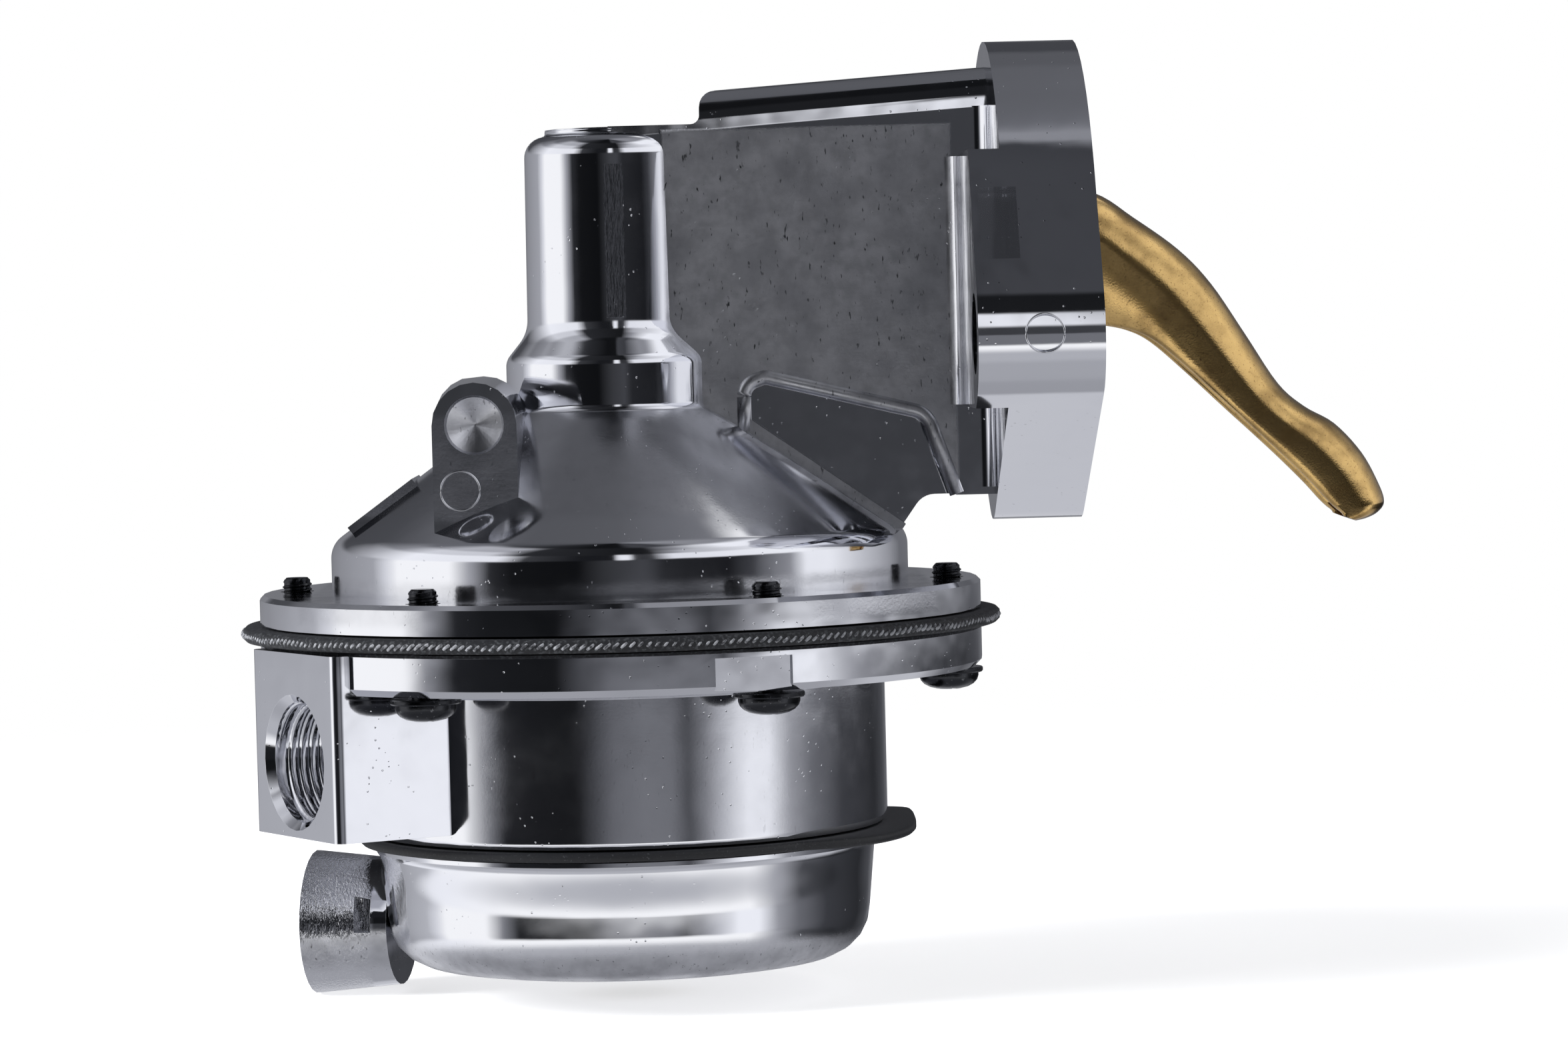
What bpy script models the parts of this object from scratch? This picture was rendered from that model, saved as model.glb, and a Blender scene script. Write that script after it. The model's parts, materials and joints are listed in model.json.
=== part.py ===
"""Mechanical fuel pump: a die-cast diaphragm pump worked by a rocker arm.

Metres, +Z up. The pull rod and the diaphragm lie on the Z axis, the bottom cover's underside is at z = 0,
and the engine bolts against the mounting flange on the +X side. The arm's pivot runs along Y.
"""

import math

import bmesh
import bpy
from mathutils import Matrix, Vector

MM = 0.001
GAP = 0.3 * MM
RUNNING_FIT = 0.1 * MM

# Angles round the pump are measured from -Y, positive towards +X.
SCREW_COUNT = 6
FIRST_SCREW_ANGLE = math.radians(25.8)
INLET_ANGLE = math.radians(-60.0)
OUTLET_ANGLE = math.radians(-101.6)
NOTCH_ANGLE = math.radians(21.0)

# The stack of castings and rubber, from the cover's underside upwards
COVER_HEIGHT = 16.3 * MM
GASKET_THICKNESS = 1.2 * MM
BODY_HEIGHT = 26.1 * MM
DIAPHRAGM_THICKNESS = 1.8 * MM
GASKET_Z = COVER_HEIGHT + GAP
BODY_Z = GASKET_Z + GASKET_THICKNESS + GAP
BODY_TOP = BODY_Z + BODY_HEIGHT
DIAPHRAGM_Z = BODY_TOP + GAP
HOUSING_Z = DIAPHRAGM_Z + DIAPHRAGM_THICKNESS + GAP

# Dome, and the clamped rims and screws round it
DOME_R = 38.8 * MM
RIM_LAND = 9.8 * MM
RIM_R = DOME_R + RIM_LAND
UPPER_RIM = 3.9 * MM
LOWER_RIM = 5.5 * MM
DIAPHRAGM_EDGE = 2.6 * MM
DIAPHRAGM_R = RIM_R + DIAPHRAGM_EDGE
SCREW_FROM_DOME = 5.2 * MM
SCREW_CIRCLE_R = DOME_R + SCREW_FROM_DOME
SCREW_R = 2.0 * MM
SCREW_HEAD_R = 4.0 * MM
SCREW_WASHER_R = 4.6 * MM
SCREW_HEAD = 3.0 * MM
SCREW_WASHER = 0.7 * MM
SCREW_STANDS_OUT = 1.9 * MM
NOTCH_WIDTH = 10.5 * MM
NOTCH_DEPTH = 0.8 * MM

# Dome wall, collar and tower of the upper housing, as heights above the housing's underside
WALL = 2.6 * MM
DOME_WALL = 8.2 * MM
SHOULDER_R = 5.5 * MM
COLLAR_R = 14.6 * MM
COLLAR_FOOT = 27.8 * MM
COLLAR_HEIGHT = 5.9 * MM
TOWER_R = 11.6 * MM
TOWER_FOOT = 38.4 * MM
TOWER_TOP = 65.2 * MM
TOWER_LIP_R = 8.6 * MM
TOWER_ROOF = 2.0 * MM
STRIPE_X = 0.6 * MM
STRIPE_WIDTH = 2.6 * MM
STRIPE_STANDS_OUT = 0.3 * MM

# Lug and bare pad on the cone
LUG_X = -18.0 * MM
LUG_FACE_Y = -27.0 * MM
LUG_BACK_Y = -7.0 * MM
LUG_TOP_Z = HOUSING_Z + 26.4 * MM
LUG_R = 5.5 * MM
LUG_DRAFT = 0.6 * MM
MARK_R = 2.4 * MM
MARK_DEPTH = 0.2 * MM
PAD_FROM_DOME = 2.8 * MM
PAD_LENGTH = 8.7 * MM
PAD_HALF = 9.0 * MM
PAD_STANDS_OUT = 0.5 * MM

# Arm box between the tower and the flange
BOX_HALF = 8.8 * MM
BOX_WALL = 2.0 * MM
BOX_FLOOR = HOUSING_Z + 15.1 * MM
ROOF_STEP_X = 12.2 * MM
ROOF_LOW = HOUSING_Z + 69.8 * MM
ROOF_STEP = 2.5 * MM
ROOF_HIGH = ROOF_LOW + ROOF_STEP
ROOF_ROUND = 5.5 * MM
ROOF_WALL = 2.7 * MM
WEB_HALF = 3.0 * MM

# Mounting flange, with its heights set from the two bolts
FACE_FROM_DOME = 23.6 * MM
FACE_X = DOME_R + FACE_FROM_DOME
FLANGE_THICKNESS = 11.9 * MM
EAR_THICKNESS = 16.0 * MM
BOLT_SPACING = 81.0 * MM
BOLT_Z = HOUSING_Z + 36.6 * MM
BOLT_HOLE_R = 5.2 * MM
EAR_R = 8.6 * MM
FLANGE_TOP = ROOF_HIGH + 3.4 * MM
FLANGE_TOP_R = 45.7 * MM
FLANGE_BOTTOM = BOX_FLOOR - 3.7 * MM
FLANGE_BOTTOM_R = 14.6 * MM
EAR_BAND_Z = (BOLT_Z - 9.5 * MM, BOLT_Z + 23.6 * MM)
WINDOW_Z = (BOLT_Z + 9.4 * MM, BOLT_Z + 18.6 * MM)
WINDOW_WIDTH = 4.9 * MM
WINDOW_SKIN = 0.9 * MM
OPENING_Z = (BOLT_Z - 10.7 * MM, BOLT_Z + 23.8 * MM)
OPENING_DEPTH = (15.4 * MM, 10.9 * MM)

# Floor of the arm's space, as distances behind the flange's face and heights
ARM_FLOOR = ((40.4 * MM, HOUSING_Z + 34.9 * MM), (21.4 * MM, HOUSING_Z + 29.9 * MM))
ARM_ROOF_DEPTH = 12.9 * MM

# Rocker arm and its pivot
PIVOT_DEPTH = 9.4 * MM
PIVOT_X = FACE_X - PIVOT_DEPTH
PIVOT_Z = BOLT_Z + 12.8 * MM
PIN_R = 3.0 * MM
PIN_HALF = 11.5 * MM
ARM_SHEET = 1.7 * MM
ARM_PLAY = 0.5 * MM
ARM_HALF = BOX_HALF - BOX_WALL - ARM_PLAY
FORK_SLOT_R = 2.8 * MM

# Pull rod and what rides on it
ROD_R = 2.4 * MM
ROD_HEAD_R = 4.8 * MM
ROD_HEAD = 1.4 * MM
BUSH = 2.0 * MM
NUT_R = 5.0 * MM
NUT_HEIGHT = 3.2 * MM
PLATE_SHEET = 1.2 * MM
PLATE_FROM_WALL = 5.2 * MM
UPPER_PLATE_R = DOME_R - WALL - PLATE_FROM_WALL
LOWER_PLATE_R = UPPER_PLATE_R - 2.0 * MM
PLATE_LIP = 2.4 * MM

# Rod seal in the collar
SEAL_R = 6.5 * MM
SEAL_HEIGHT = 7.0 * MM
SPRING_SEAT = 24.4 * MM
RETAINER_R = 15.6 * MM
GUIDE_LENGTH = 2.5 * MM

# Springs
DIAPHRAGM_SPRING = {"radius": 14.0 * MM, "wire": 2.2 * MM, "turns": 5.0}
ARM_SPRING = {"radius": 4.0 * MM, "wire": 1.3 * MM, "turns": 5.0}
ARM_SPRING_FROM_PIVOT = 20.0 * MM
ARM_SPRING_X = PIVOT_X - ARM_SPRING_FROM_PIVOT

# Valve deck of the lower casting
BODY_R = DOME_R - 3.5 * MM
BODY_WALL = 3.8 * MM
DECK_TOP = BODY_TOP - 9.7 * MM
DECK = 4.0 * MM
CHAMBER_R = BODY_R + 0.7 * MM
CHAMBER_FLOOR_R = CHAMBER_R - 6.0 * MM
BOSS_R = 5.8 * MM
VALVE_CIRCLE_R = 16.0 * MM
SEAT_R = 9.0 * MM
SEAT = 3.0 * MM
SEAT_PORT_R = 1.5 * MM
SEAT_PORT_CIRCLE_R = 4.2 * MM
LEDGE_R = 7.6 * MM
DISC_R = 6.6 * MM
DISC = 1.1 * MM
STEM_R = 1.2 * MM
STEM_HEAD_R = 3.0 * MM
VALVE_SPRING = {"radius": 2.2 * MM, "wire": 0.45 * MM, "turns": 3.0}
VALVE_SPRING_LENGTH = 4.0 * MM
WELL_R = 11.4 * MM
WELL_FLOOR = 2.0 * MM

# Square block with the inlet port, and the port's taper thread before its thread is cut
BLOCK_STANDS_OUT = 0.7 * MM
BLOCK_REACH = RIM_R + BLOCK_STANDS_OUT
BLOCK_ROOT = 18.0 * MM
BLOCK_HALF = 12.4 * MM
BLOCK_Z = (BODY_Z + 1.7 * MM, BODY_TOP - 0.3 * MM)
PORT_Z = BODY_Z + 11.5 * MM
PORT_MOUTH_R = 8.9 * MM
PORT_R = 7.9 * MM
PORT_END_R = 7.4 * MM
PORT_DEPTH = 14.0 * MM
PASSAGE_R = 3.6 * MM
PASSAGE_Z = BODY_Z + 8.1 * MM

# Bottom cover, its port boss and its bolt
COVER_R = BODY_R - 1.9 * MM
COVER_TAPER = 0.8 * MM
COVER_FOOT_R = COVER_R - COVER_TAPER
COVER_ROUND = 6.5 * MM
COVER_WALL = 2.6 * MM
OUTLET_REACH = COVER_R + 10.2 * MM
OUTLET_ROOT = COVER_R - 1.6 * MM
OUTLET_END_R = 9.8 * MM
OUTLET_ROOT_R = 8.6 * MM
OUTLET_Z = 4.9 * MM
OUTLET_BORE_R = 7.3 * MM
OUTLET_MOUTH_R = 8.4 * MM
OUTLET_DEPTH = 11.5 * MM
POCKET_REACH = COVER_R + 2.8 * MM
POCKET_INNER = 7.9 * MM
POCKET_FLOOR = 4.4 * MM
BOLT_R = 3.0 * MM
BOLT_HEAD_R = 5.7 * MM
BOLT_HEAD = 4.0 * MM
BOLT_WASHER_R = 6.6 * MM
BOLT_WASHER = 1.0 * MM
COVER_BOSS_R = 9.4 * MM
COVER_BOSS_TOP = COVER_HEIGHT - 4.3 * MM

# Gasket
GASKET_R = BODY_R + 0.7 * MM
GASKET_HOLE_R = GASKET_R - 5.4 * MM
TAB_REACH = GASKET_R + 3.2 * MM
TAB_HALF = 17.0 * MM

FINE = 48
MEDIUM = 28
SMALL = 14

COLLECTION = bpy.data.collections.new("mechanical_fuel_pump")
CUTTERS = bpy.data.collections.new("mechanical_fuel_pump_cutters")


def clear_scene():
    for obj in list(bpy.data.objects):
        bpy.data.objects.remove(obj)
    bpy.context.scene.collection.children.link(COLLECTION)
    bpy.context.scene.collection.children.link(CUTTERS)
    bpy.context.scene.unit_settings.system = "METRIC"


def make_material(name, colour, roughness, metallic):
    material = bpy.data.materials.new(name)
    material.use_nodes = True
    shader = material.node_tree.nodes["Principled BSDF"]
    shader.inputs["Base Color"].default_value = (*colour, 1.0)
    shader.inputs["Roughness"].default_value = roughness
    shader.inputs["Metallic"].default_value = metallic
    material.diffuse_color = (*colour, 1.0)
    return material


def round_point(radius, angle, z=0.0):
    """The point at this distance from the Z axis, at an angle measured from -Y towards +X."""
    return Vector((radius * math.sin(angle), -radius * math.cos(angle), z))


def as_object(name, mesh, collection):
    obj = bpy.data.objects.new(name, mesh)
    collection.objects.link(obj)
    return obj


def as_cutter(obj):
    """Moves a helper solid to the cutters, where it shapes others and is never rendered."""
    for collection in list(obj.users_collection):
        collection.objects.unlink(obj)
    CUTTERS.objects.link(obj)
    obj.hide_render = True
    obj.display_type = "WIRE"
    return obj


def settle(obj, angle=32.0):
    """Applies the modifiers, turns every face outwards and shades the round surfaces smooth."""
    graph = bpy.context.evaluated_depsgraph_get()
    mesh = bpy.data.meshes.new_from_object(obj.evaluated_get(graph))
    obj.modifiers.clear()
    form = bmesh.new()
    form.from_mesh(mesh)
    bmesh.ops.remove_doubles(form, verts=form.verts, dist=0.002 * MM)
    bmesh.ops.recalc_face_normals(form, faces=form.faces)
    form.to_mesh(mesh)
    form.free()
    mesh.name = obj.name
    obj.data = mesh
    mesh.shade_smooth()
    mesh.set_sharp_from_angle(angle=math.radians(angle))
    return obj


def combine(target, operation, others):
    for other in others:
        modifier = target.modifiers.new(f"{operation.lower()} {other.name}", "BOOLEAN")
        modifier.operation = operation
        modifier.solver = "EXACT"
        modifier.object = as_cutter(other)
    return settle(target)


def unite(target, *others):
    return combine(target, "UNION", others)


def subtract(target, *others):
    return combine(target, "DIFFERENCE", others)


def keep_common(target, *others):
    return combine(target, "INTERSECT", others)


def revolve(name, profile, steps=FINE, at=(0.0, 0.0, 0.0)):
    """A turned solid round Z. The profile is a closed loop of (radius, z), clockwise, or ends on the axis."""
    mesh = bpy.data.meshes.new(name)
    on_axis = profile[0][0] == 0.0 and profile[-1][0] == 0.0
    count = len(profile)
    edges = [(i, (i + 1) % count) for i in range(count - 1 if on_axis else count)]
    mesh.from_pydata([(r, 0.0, z) for r, z in profile], edges, [])
    obj = as_object(name, mesh, COLLECTION)
    screw = obj.modifiers.new("turn", "SCREW")
    screw.steps = screw.render_steps = steps
    screw.use_merge_vertices = True
    screw.merge_threshold = 0.01 * MM
    settle(obj)
    obj.data.transform(Matrix.Translation(at))
    return obj


def arc(centre, radius, start, end, count=6):
    """Points on an arc, from one angle in degrees to another."""
    steps = [math.radians(start + (end - start) * i / count) for i in range(count + 1)]
    return [(centre[0] + radius * math.cos(a), centre[1] + radius * math.sin(a)) for a in steps]


def rounded(corners, count=5):
    """An outline from (x, y, corner radius) points, each corner swept by an arc."""
    outline = []
    for i, (x, y, radius) in enumerate(corners):
        here = Vector((x, y))
        if radius == 0.0:
            outline.append((x, y))
            continue
        before = (Vector(corners[i - 1][:2]) - here).normalized()
        after = (Vector(corners[(i + 1) % len(corners)][:2]) - here).normalized()
        half = before.angle(after) / 2.0
        reach = radius / math.tan(half)
        centre = here + (before + after).normalized() * (radius / math.sin(half))
        first = here + before * reach - centre
        sweep = (here + after * reach - centre).angle_signed(first)
        for step in range(count + 1):
            outline.append(tuple(centre + Matrix.Rotation(sweep * step / count, 2) @ first))
    return outline


def smooth_line(points, count=4):
    """A Catmull-Rom curve through the points."""
    ends = [points[0]] + list(points) + [points[-1]]
    line = []
    for p0, p1, p2, p3 in zip(ends, ends[1:], ends[2:], ends[3:]):
        for step in range(count):
            t = step / count
            line.append(
                tuple(
                    b + 0.5 * t * (c - a + t * (2 * a - 5 * b + 4 * c - d + t * (3 * b - a - 3 * c + d)))
                    for a, b, c, d in zip(p0, p1, p2, p3)
                )
            )
    line.append(tuple(points[-1]))
    return line


def offset_line(line, distance):
    """The line moved sideways, to the right of its own direction."""
    moved = []
    for i, point in enumerate(line):
        before = Vector(line[max(i - 1, 0)])
        after = Vector(line[min(i + 1, len(line) - 1)])
        along = (after - before).normalized()
        moved.append((point[0] + along.y * distance, point[1] - along.x * distance))
    return moved


PLANES = {
    "XY": Matrix(((1, 0, 0), (0, 1, 0), (0, 0, 1))),
    "XZ": Matrix(((1, 0, 0), (0, 0, -1), (0, 1, 0))),
    "YZ": Matrix(((0, 0, 1), (1, 0, 0), (0, 1, 0))),
}


def prism(name, outline, plane, low, high):
    """A flat outline drawn in a plane and extruded between two places on the plane's normal axis."""
    curve = bpy.data.curves.new(name, "CURVE")
    curve.dimensions = "2D"
    curve.fill_mode = "BOTH"
    curve.extrude = (high - low) / 2.0
    spline = curve.splines.new("POLY")
    spline.points.add(len(outline) - 1)
    for point, (x, y) in zip(spline.points, outline):
        point.co = (x, y, 0.0, 1.0)
    spline.use_cyclic_u = True
    drawn = as_object(name + "_outline", curve, COLLECTION)
    graph = bpy.context.evaluated_depsgraph_get()
    mesh = bpy.data.meshes.new_from_object(drawn.evaluated_get(graph))
    bpy.data.objects.remove(drawn)
    middle = (low + high) / 2.0
    turn = PLANES[plane]
    sign = -1.0 if plane == "XZ" else 1.0
    mesh.transform(turn.to_4x4() @ Matrix.Translation((0.0, 0.0, sign * middle)))
    form = bmesh.new()
    form.from_mesh(mesh)
    bmesh.ops.remove_doubles(form, verts=form.verts, dist=0.002 * MM)
    bmesh.ops.dissolve_limit(form, angle_limit=math.radians(0.05), verts=form.verts, edges=form.edges)
    form.to_mesh(mesh)
    form.free()
    return settle(as_object(name, mesh, COLLECTION))


def box(name, low, high):
    form = bmesh.new()
    bmesh.ops.create_cube(form, size=1.0)
    size = [b - a for a, b in zip(low, high)]
    centre = [(a + b) / 2.0 for a, b in zip(low, high)]
    bmesh.ops.scale(form, vec=size, verts=form.verts)
    bmesh.ops.translate(form, vec=centre, verts=form.verts)
    mesh = bpy.data.meshes.new(name)
    form.to_mesh(mesh)
    form.free()
    return as_object(name, mesh, COLLECTION)


def rod_between(name, start, end, radius, end_radius=None, steps=MEDIUM):
    """A cylinder or cone from one point to another."""
    start = Vector(start)
    span = Vector(end) - start
    form = bmesh.new()
    bmesh.ops.create_cone(
        form,
        cap_ends=True,
        segments=steps,
        radius1=radius,
        radius2=radius if end_radius is None else end_radius,
        depth=span.length,
    )
    turn = span.to_track_quat("Z", "Y").to_matrix().to_4x4()
    form.transform(Matrix.Translation(start + span / 2.0) @ turn)
    mesh = bpy.data.meshes.new(name)
    form.to_mesh(mesh)
    form.free()
    return as_object(name, mesh, COLLECTION)


def turned(name, profile, start, toward, steps=MEDIUM):
    """A turned solid along any line. The profile's points are (radius, distance from the start)."""
    start = Vector(start)
    turn = (Vector(toward) - start).to_track_quat("Z", "Y").to_matrix().to_4x4()
    obj = revolve(name, [(0.0, profile[0][1]), *profile, (0.0, profile[-1][1])], steps)
    obj.data.transform(Matrix.Translation(start) @ turn)
    return obj


def coil(name, size, bottom, top, at=(0.0, 0.0), per_turn=11):
    """A compression spring with its first and last turns closed."""
    wire_r = size["wire"] / 2.0
    turns = size["turns"]
    closed = 0.75 / turns
    rise = size["wire"] * 0.75
    low = bottom + wire_r
    height = top - wire_r - low
    count = round(turns * per_turn)
    curve = bpy.data.curves.new(name, "CURVE")
    curve.dimensions = "3D"
    curve.bevel_depth = wire_r
    curve.bevel_resolution = 2
    curve.use_fill_caps = True
    spline = curve.splines.new("POLY")
    spline.points.add(count)
    for i, point in enumerate(spline.points):
        t = i / count
        if t < closed:
            z = low + rise * t / closed
        elif t > 1.0 - closed:
            z = low + height - rise * (1.0 - t) / closed
        else:
            z = low + rise + (height - 2.0 * rise) * (t - closed) / (1.0 - 2.0 * closed)
        turn = 2.0 * math.pi * turns * t
        x = at[0] + size["radius"] * math.cos(turn)
        y = at[1] + size["radius"] * math.sin(turn)
        point.co = (x, y, z, 1.0)
    drawn = as_object(name + "_line", curve, COLLECTION)
    graph = bpy.context.evaluated_depsgraph_get()
    mesh = bpy.data.meshes.new_from_object(drawn.evaluated_get(graph))
    bpy.data.objects.remove(drawn)
    return settle(as_object(name, mesh, COLLECTION), angle=60.0)


def screw_angles():
    return [FIRST_SCREW_ANGLE + i * 2.0 * math.pi / SCREW_COUNT for i in range(SCREW_COUNT)]


def screw_holes(name, low, high):
    holes = []
    for i, angle in enumerate(screw_angles()):
        place = round_point(SCREW_CIRCLE_R, angle)
        ends = [place + Vector((0.0, 0.0, z)) for z in (low, high)]
        holes.append(rod_between(f"{name}_{i + 1}", *ends, SCREW_R + GAP, steps=SMALL))
    return holes


def dome_profile():
    """The upper housing's outside from the tower's top down to the rim, and the slope of its cone."""
    z = HOUSING_Z
    cone_foot = (DOME_R - SHOULDER_R * 0.55, z + DOME_WALL + SHOULDER_R * 0.78)
    tower_top = z + TOWER_TOP
    return [
        (0.0, tower_top),
        (TOWER_LIP_R, tower_top),
        (TOWER_LIP_R, tower_top - 0.7 * MM),
        *arc((TOWER_R - 3.0 * MM, tower_top - 3.7 * MM), 2.8 * MM, 80.0, 5.0, 3),
        (TOWER_R, z + TOWER_FOOT + 0.9 * MM),
        (TOWER_R + 0.5 * MM, z + TOWER_FOOT - 0.9 * MM),
        (COLLAR_R - 0.7 * MM, z + COLLAR_FOOT + COLLAR_HEIGHT + 1.6 * MM),
        (COLLAR_R, z + COLLAR_FOOT + COLLAR_HEIGHT),
        (COLLAR_R, z + COLLAR_FOOT),
        cone_foot,
        (DOME_R - 0.6 * MM, z + DOME_WALL + SHOULDER_R * 0.42),
        (DOME_R, z + DOME_WALL),
        (DOME_R, z + UPPER_RIM),
        (RIM_R - 0.6 * MM, z + UPPER_RIM),
        (RIM_R, z + UPPER_RIM - 0.6 * MM),
        (RIM_R, z),
        (0.0, z),
    ]


def cone_height(radius):
    """Height of the cone's outside at this distance from the axis."""
    z = HOUSING_Z
    high = (COLLAR_R, z + COLLAR_FOOT)
    low = (DOME_R - SHOULDER_R * 0.55, z + DOME_WALL + SHOULDER_R * 0.78)
    return high[1] + (radius - high[0]) * (low[1] - high[1]) / (low[0] - high[0])


def seal_levels():
    """Heights of the spring seat in the dome, and of the wall above the seal that guides the rod."""
    seat = HOUSING_Z + SPRING_SEAT
    guide = seat + SEAL_HEIGHT + GAP
    return seat, guide, guide + GUIDE_LENGTH


def inner_profile():
    """The hollow of the dome, the seal's bore, the rod guide and the tower's bore."""
    z = HOUSING_Z
    tower_bore = TOWER_R - WALL + 0.2 * MM
    seat, guide, guide_top = seal_levels()
    shoulder = DOME_R - SHOULDER_R
    return [
        (0.0, z + TOWER_TOP - TOWER_ROOF),
        (tower_bore, z + TOWER_TOP - TOWER_ROOF),
        (tower_bore, guide_top),
        (ROD_R + RUNNING_FIT, guide_top),
        (ROD_R + RUNNING_FIT, guide),
        (SEAL_R + GAP, guide),
        (SEAL_R + GAP, seat),
        (RETAINER_R + GAP, seat),
        (shoulder, cone_height(shoulder) - WALL * 1.25),
        (DOME_R - WALL, z + DOME_WALL - 0.5 * MM),
        (DOME_R - WALL, z - 1.0 * MM),
        (0.0, z - 1.0 * MM),
    ]


def arm_box():
    """The box round the arm's inner lever, its roof rounded along the top and its foot sunk in the cone."""
    high_x = FACE_X - FLANGE_THICKNESS + 2.0 * MM
    tower_top = HOUSING_Z + TOWER_TOP
    outline = rounded(
        [
            (0.0, tower_top + 0.1 * MM, 0.0),
            (ROOF_STEP_X, tower_top + 0.1 * MM, 1.2 * MM),
            (ROOF_STEP_X, ROOF_LOW, 2.4 * MM),
            (high_x, ROOF_HIGH, 0.0),
            (high_x, BOX_FLOOR, 0.0),
            (DOME_R + 2.2 * MM, BOX_FLOOR, 3.0 * MM),
            (DOME_R - 1.0 * MM, BOX_FLOOR - 4.5 * MM, 0.0),
            (0.0, BOX_FLOOR - 4.5 * MM, 0.0),
        ]
    )
    sides = prism("arm_box_sides", outline, "XZ", -BOX_HALF, BOX_HALF)
    section = rounded(
        [
            (-BOX_HALF, ROOF_HIGH, ROOF_ROUND),
            (BOX_HALF, ROOF_HIGH, ROOF_ROUND),
            (BOX_HALF, HOUSING_Z, 0.0),
            (-BOX_HALF, HOUSING_Z, 0.0),
        ]
    )
    roof = prism("arm_box_section", section, "YZ", -5.0 * MM, high_x + 5.0 * MM)
    slope = math.atan2(ROOF_HIGH - ROOF_LOW, high_x - ROOF_STEP_X)
    hinge = Matrix.Translation((high_x, 0.0, ROOF_HIGH))
    roof.data.transform(hinge @ Matrix.Rotation(-slope, 4, "Y") @ hinge.inverted())
    return keep_common(sides, roof)


def box_hollow():
    """The space for the arm inside the box, open into the tower's bore and out of the flange's face."""
    tower_roof = HOUSING_Z + TOWER_TOP - TOWER_ROOF
    floor = seal_levels()[2] + 4.0 * MM
    mouth = FACE_X + 1.0 * MM
    outline = [
        (0.0, floor),
        (TOWER_R - WALL, floor),
        *[(FACE_X - depth, height) for depth, height in ARM_FLOOR],
        (FACE_X - OPENING_DEPTH[0], OPENING_Z[0]),
        (mouth, OPENING_Z[0]),
        (mouth, OPENING_Z[1]),
        (FACE_X - OPENING_DEPTH[1], OPENING_Z[1]),
        (FACE_X - ARM_ROOF_DEPTH, ROOF_LOW - ROOF_WALL),
        (ROOF_STEP_X + ROOF_WALL, ROOF_LOW - ROOF_WALL),
        (ROOF_STEP_X + ROOF_WALL, tower_roof),
        (0.0, tower_roof),
    ]
    half = BOX_HALF - BOX_WALL
    return prism("box_hollow", outline, "XZ", -half, half)


def side_pockets():
    """The three-cornered recesses that leave a web between the box and the cone, one on each side."""
    lift = 0.5 * MM
    start = COLLAR_R + 2.8 * MM
    collar_foot = HOUSING_Z + COLLAR_FOOT
    end = FACE_X - EAR_THICKNESS - 1.2 * MM
    below = BOX_FLOOR - 6.0 * MM
    outline = rounded(
        [
            (start, cone_height(start) + lift, 0.8 * MM),
            (start - 0.2 * MM, collar_foot + 2.5 * MM, 2.4 * MM),
            (start + 2.6 * MM, collar_foot + 3.6 * MM, 2.0 * MM),
            (end - 3.7 * MM, BOX_FLOOR + 10.9 * MM, 3.0 * MM),
            (end, BOX_FLOOR, 0.0),
            (end, below, 0.0),
            (DOME_R + 0.6 * MM, below, 0.0),
            (DOME_R + 0.4 * MM, cone_height(DOME_R) + lift, 0.0),
        ],
        count=4,
    )
    outside = BOX_HALF + 5.0 * MM
    near = prism("pocket_near", outline, "XZ", -outside, -WEB_HALF)
    far = prism("pocket_far", outline, "XZ", WEB_HALF, outside)
    return near, far


def flange():
    """The mounting flange: a plate with its ears thickened in a band behind the bolt holes."""
    ear_y = BOLT_SPACING / 2.0
    upper = 37.0
    lower = 67.0
    outline = [
        *arc((0.0, FLANGE_TOP - FLANGE_TOP_R), FLANGE_TOP_R, upper, 180.0 - upper, 18),
        *arc((-ear_y, BOLT_Z), EAR_R, 180.0 - upper, 180.0 + lower, 9),
        *arc((0.0, FLANGE_BOTTOM + FLANGE_BOTTOM_R), FLANGE_BOTTOM_R, 180.0 + lower, 360.0 - lower, 5),
        *arc((ear_y, BOLT_Z), EAR_R, -lower, upper, 9),
    ]
    plate = prism("flange", outline, "YZ", FACE_X - EAR_THICKNESS, FACE_X)
    back = FACE_X - EAR_THICKNESS - 1.0 * MM
    step = FACE_X - FLANGE_THICKNESS
    low, high = FLANGE_BOTTOM - 1.0 * MM, FLANGE_TOP + 1.0 * MM
    above = box("above_ears", (back, -BOLT_SPACING, EAR_BAND_Z[1]), (step, BOLT_SPACING, high))
    below = box("below_ears", (back, -BOLT_SPACING, low), (step, BOLT_SPACING, EAR_BAND_Z[0]))
    return subtract(plate, above, below)


def fillet_strips():
    """The fillets that run up the corners between the box's sides and the back of the flange."""
    strips = []
    reach = 2.2 * MM
    sunk = 0.05 * MM
    overlap = 0.5 * MM
    ear_low, ear_high = EAR_BAND_Z
    for side in (-1.0, 1.0):
        for label, back, low, high in (
            ("ear", FACE_X - EAR_THICKNESS, ear_low + sunk, ear_high - sunk),
            ("top", FACE_X - FLANGE_THICKNESS, ear_high - overlap, ROOF_HIGH - ROOF_ROUND),
            ("low", FACE_X - FLANGE_THICKNESS, BOX_FLOOR + 1.0 * MM, ear_low + overlap),
        ):
            corner = (back + overlap, side * (BOX_HALF - overlap))
            centre = (back - reach + sunk, side * (BOX_HALF + reach - sunk))
            swept = arc(centre, reach, 0.0, -90.0 * side, 4)
            outline = [corner, (corner[0], swept[0][1]), *swept, (swept[-1][0], corner[1])]
            name = f"fillet_{label}_{'near' if side < 0.0 else 'far'}"
            strips.append(prism(name, outline, "XY", low, high))
    return strips


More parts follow.
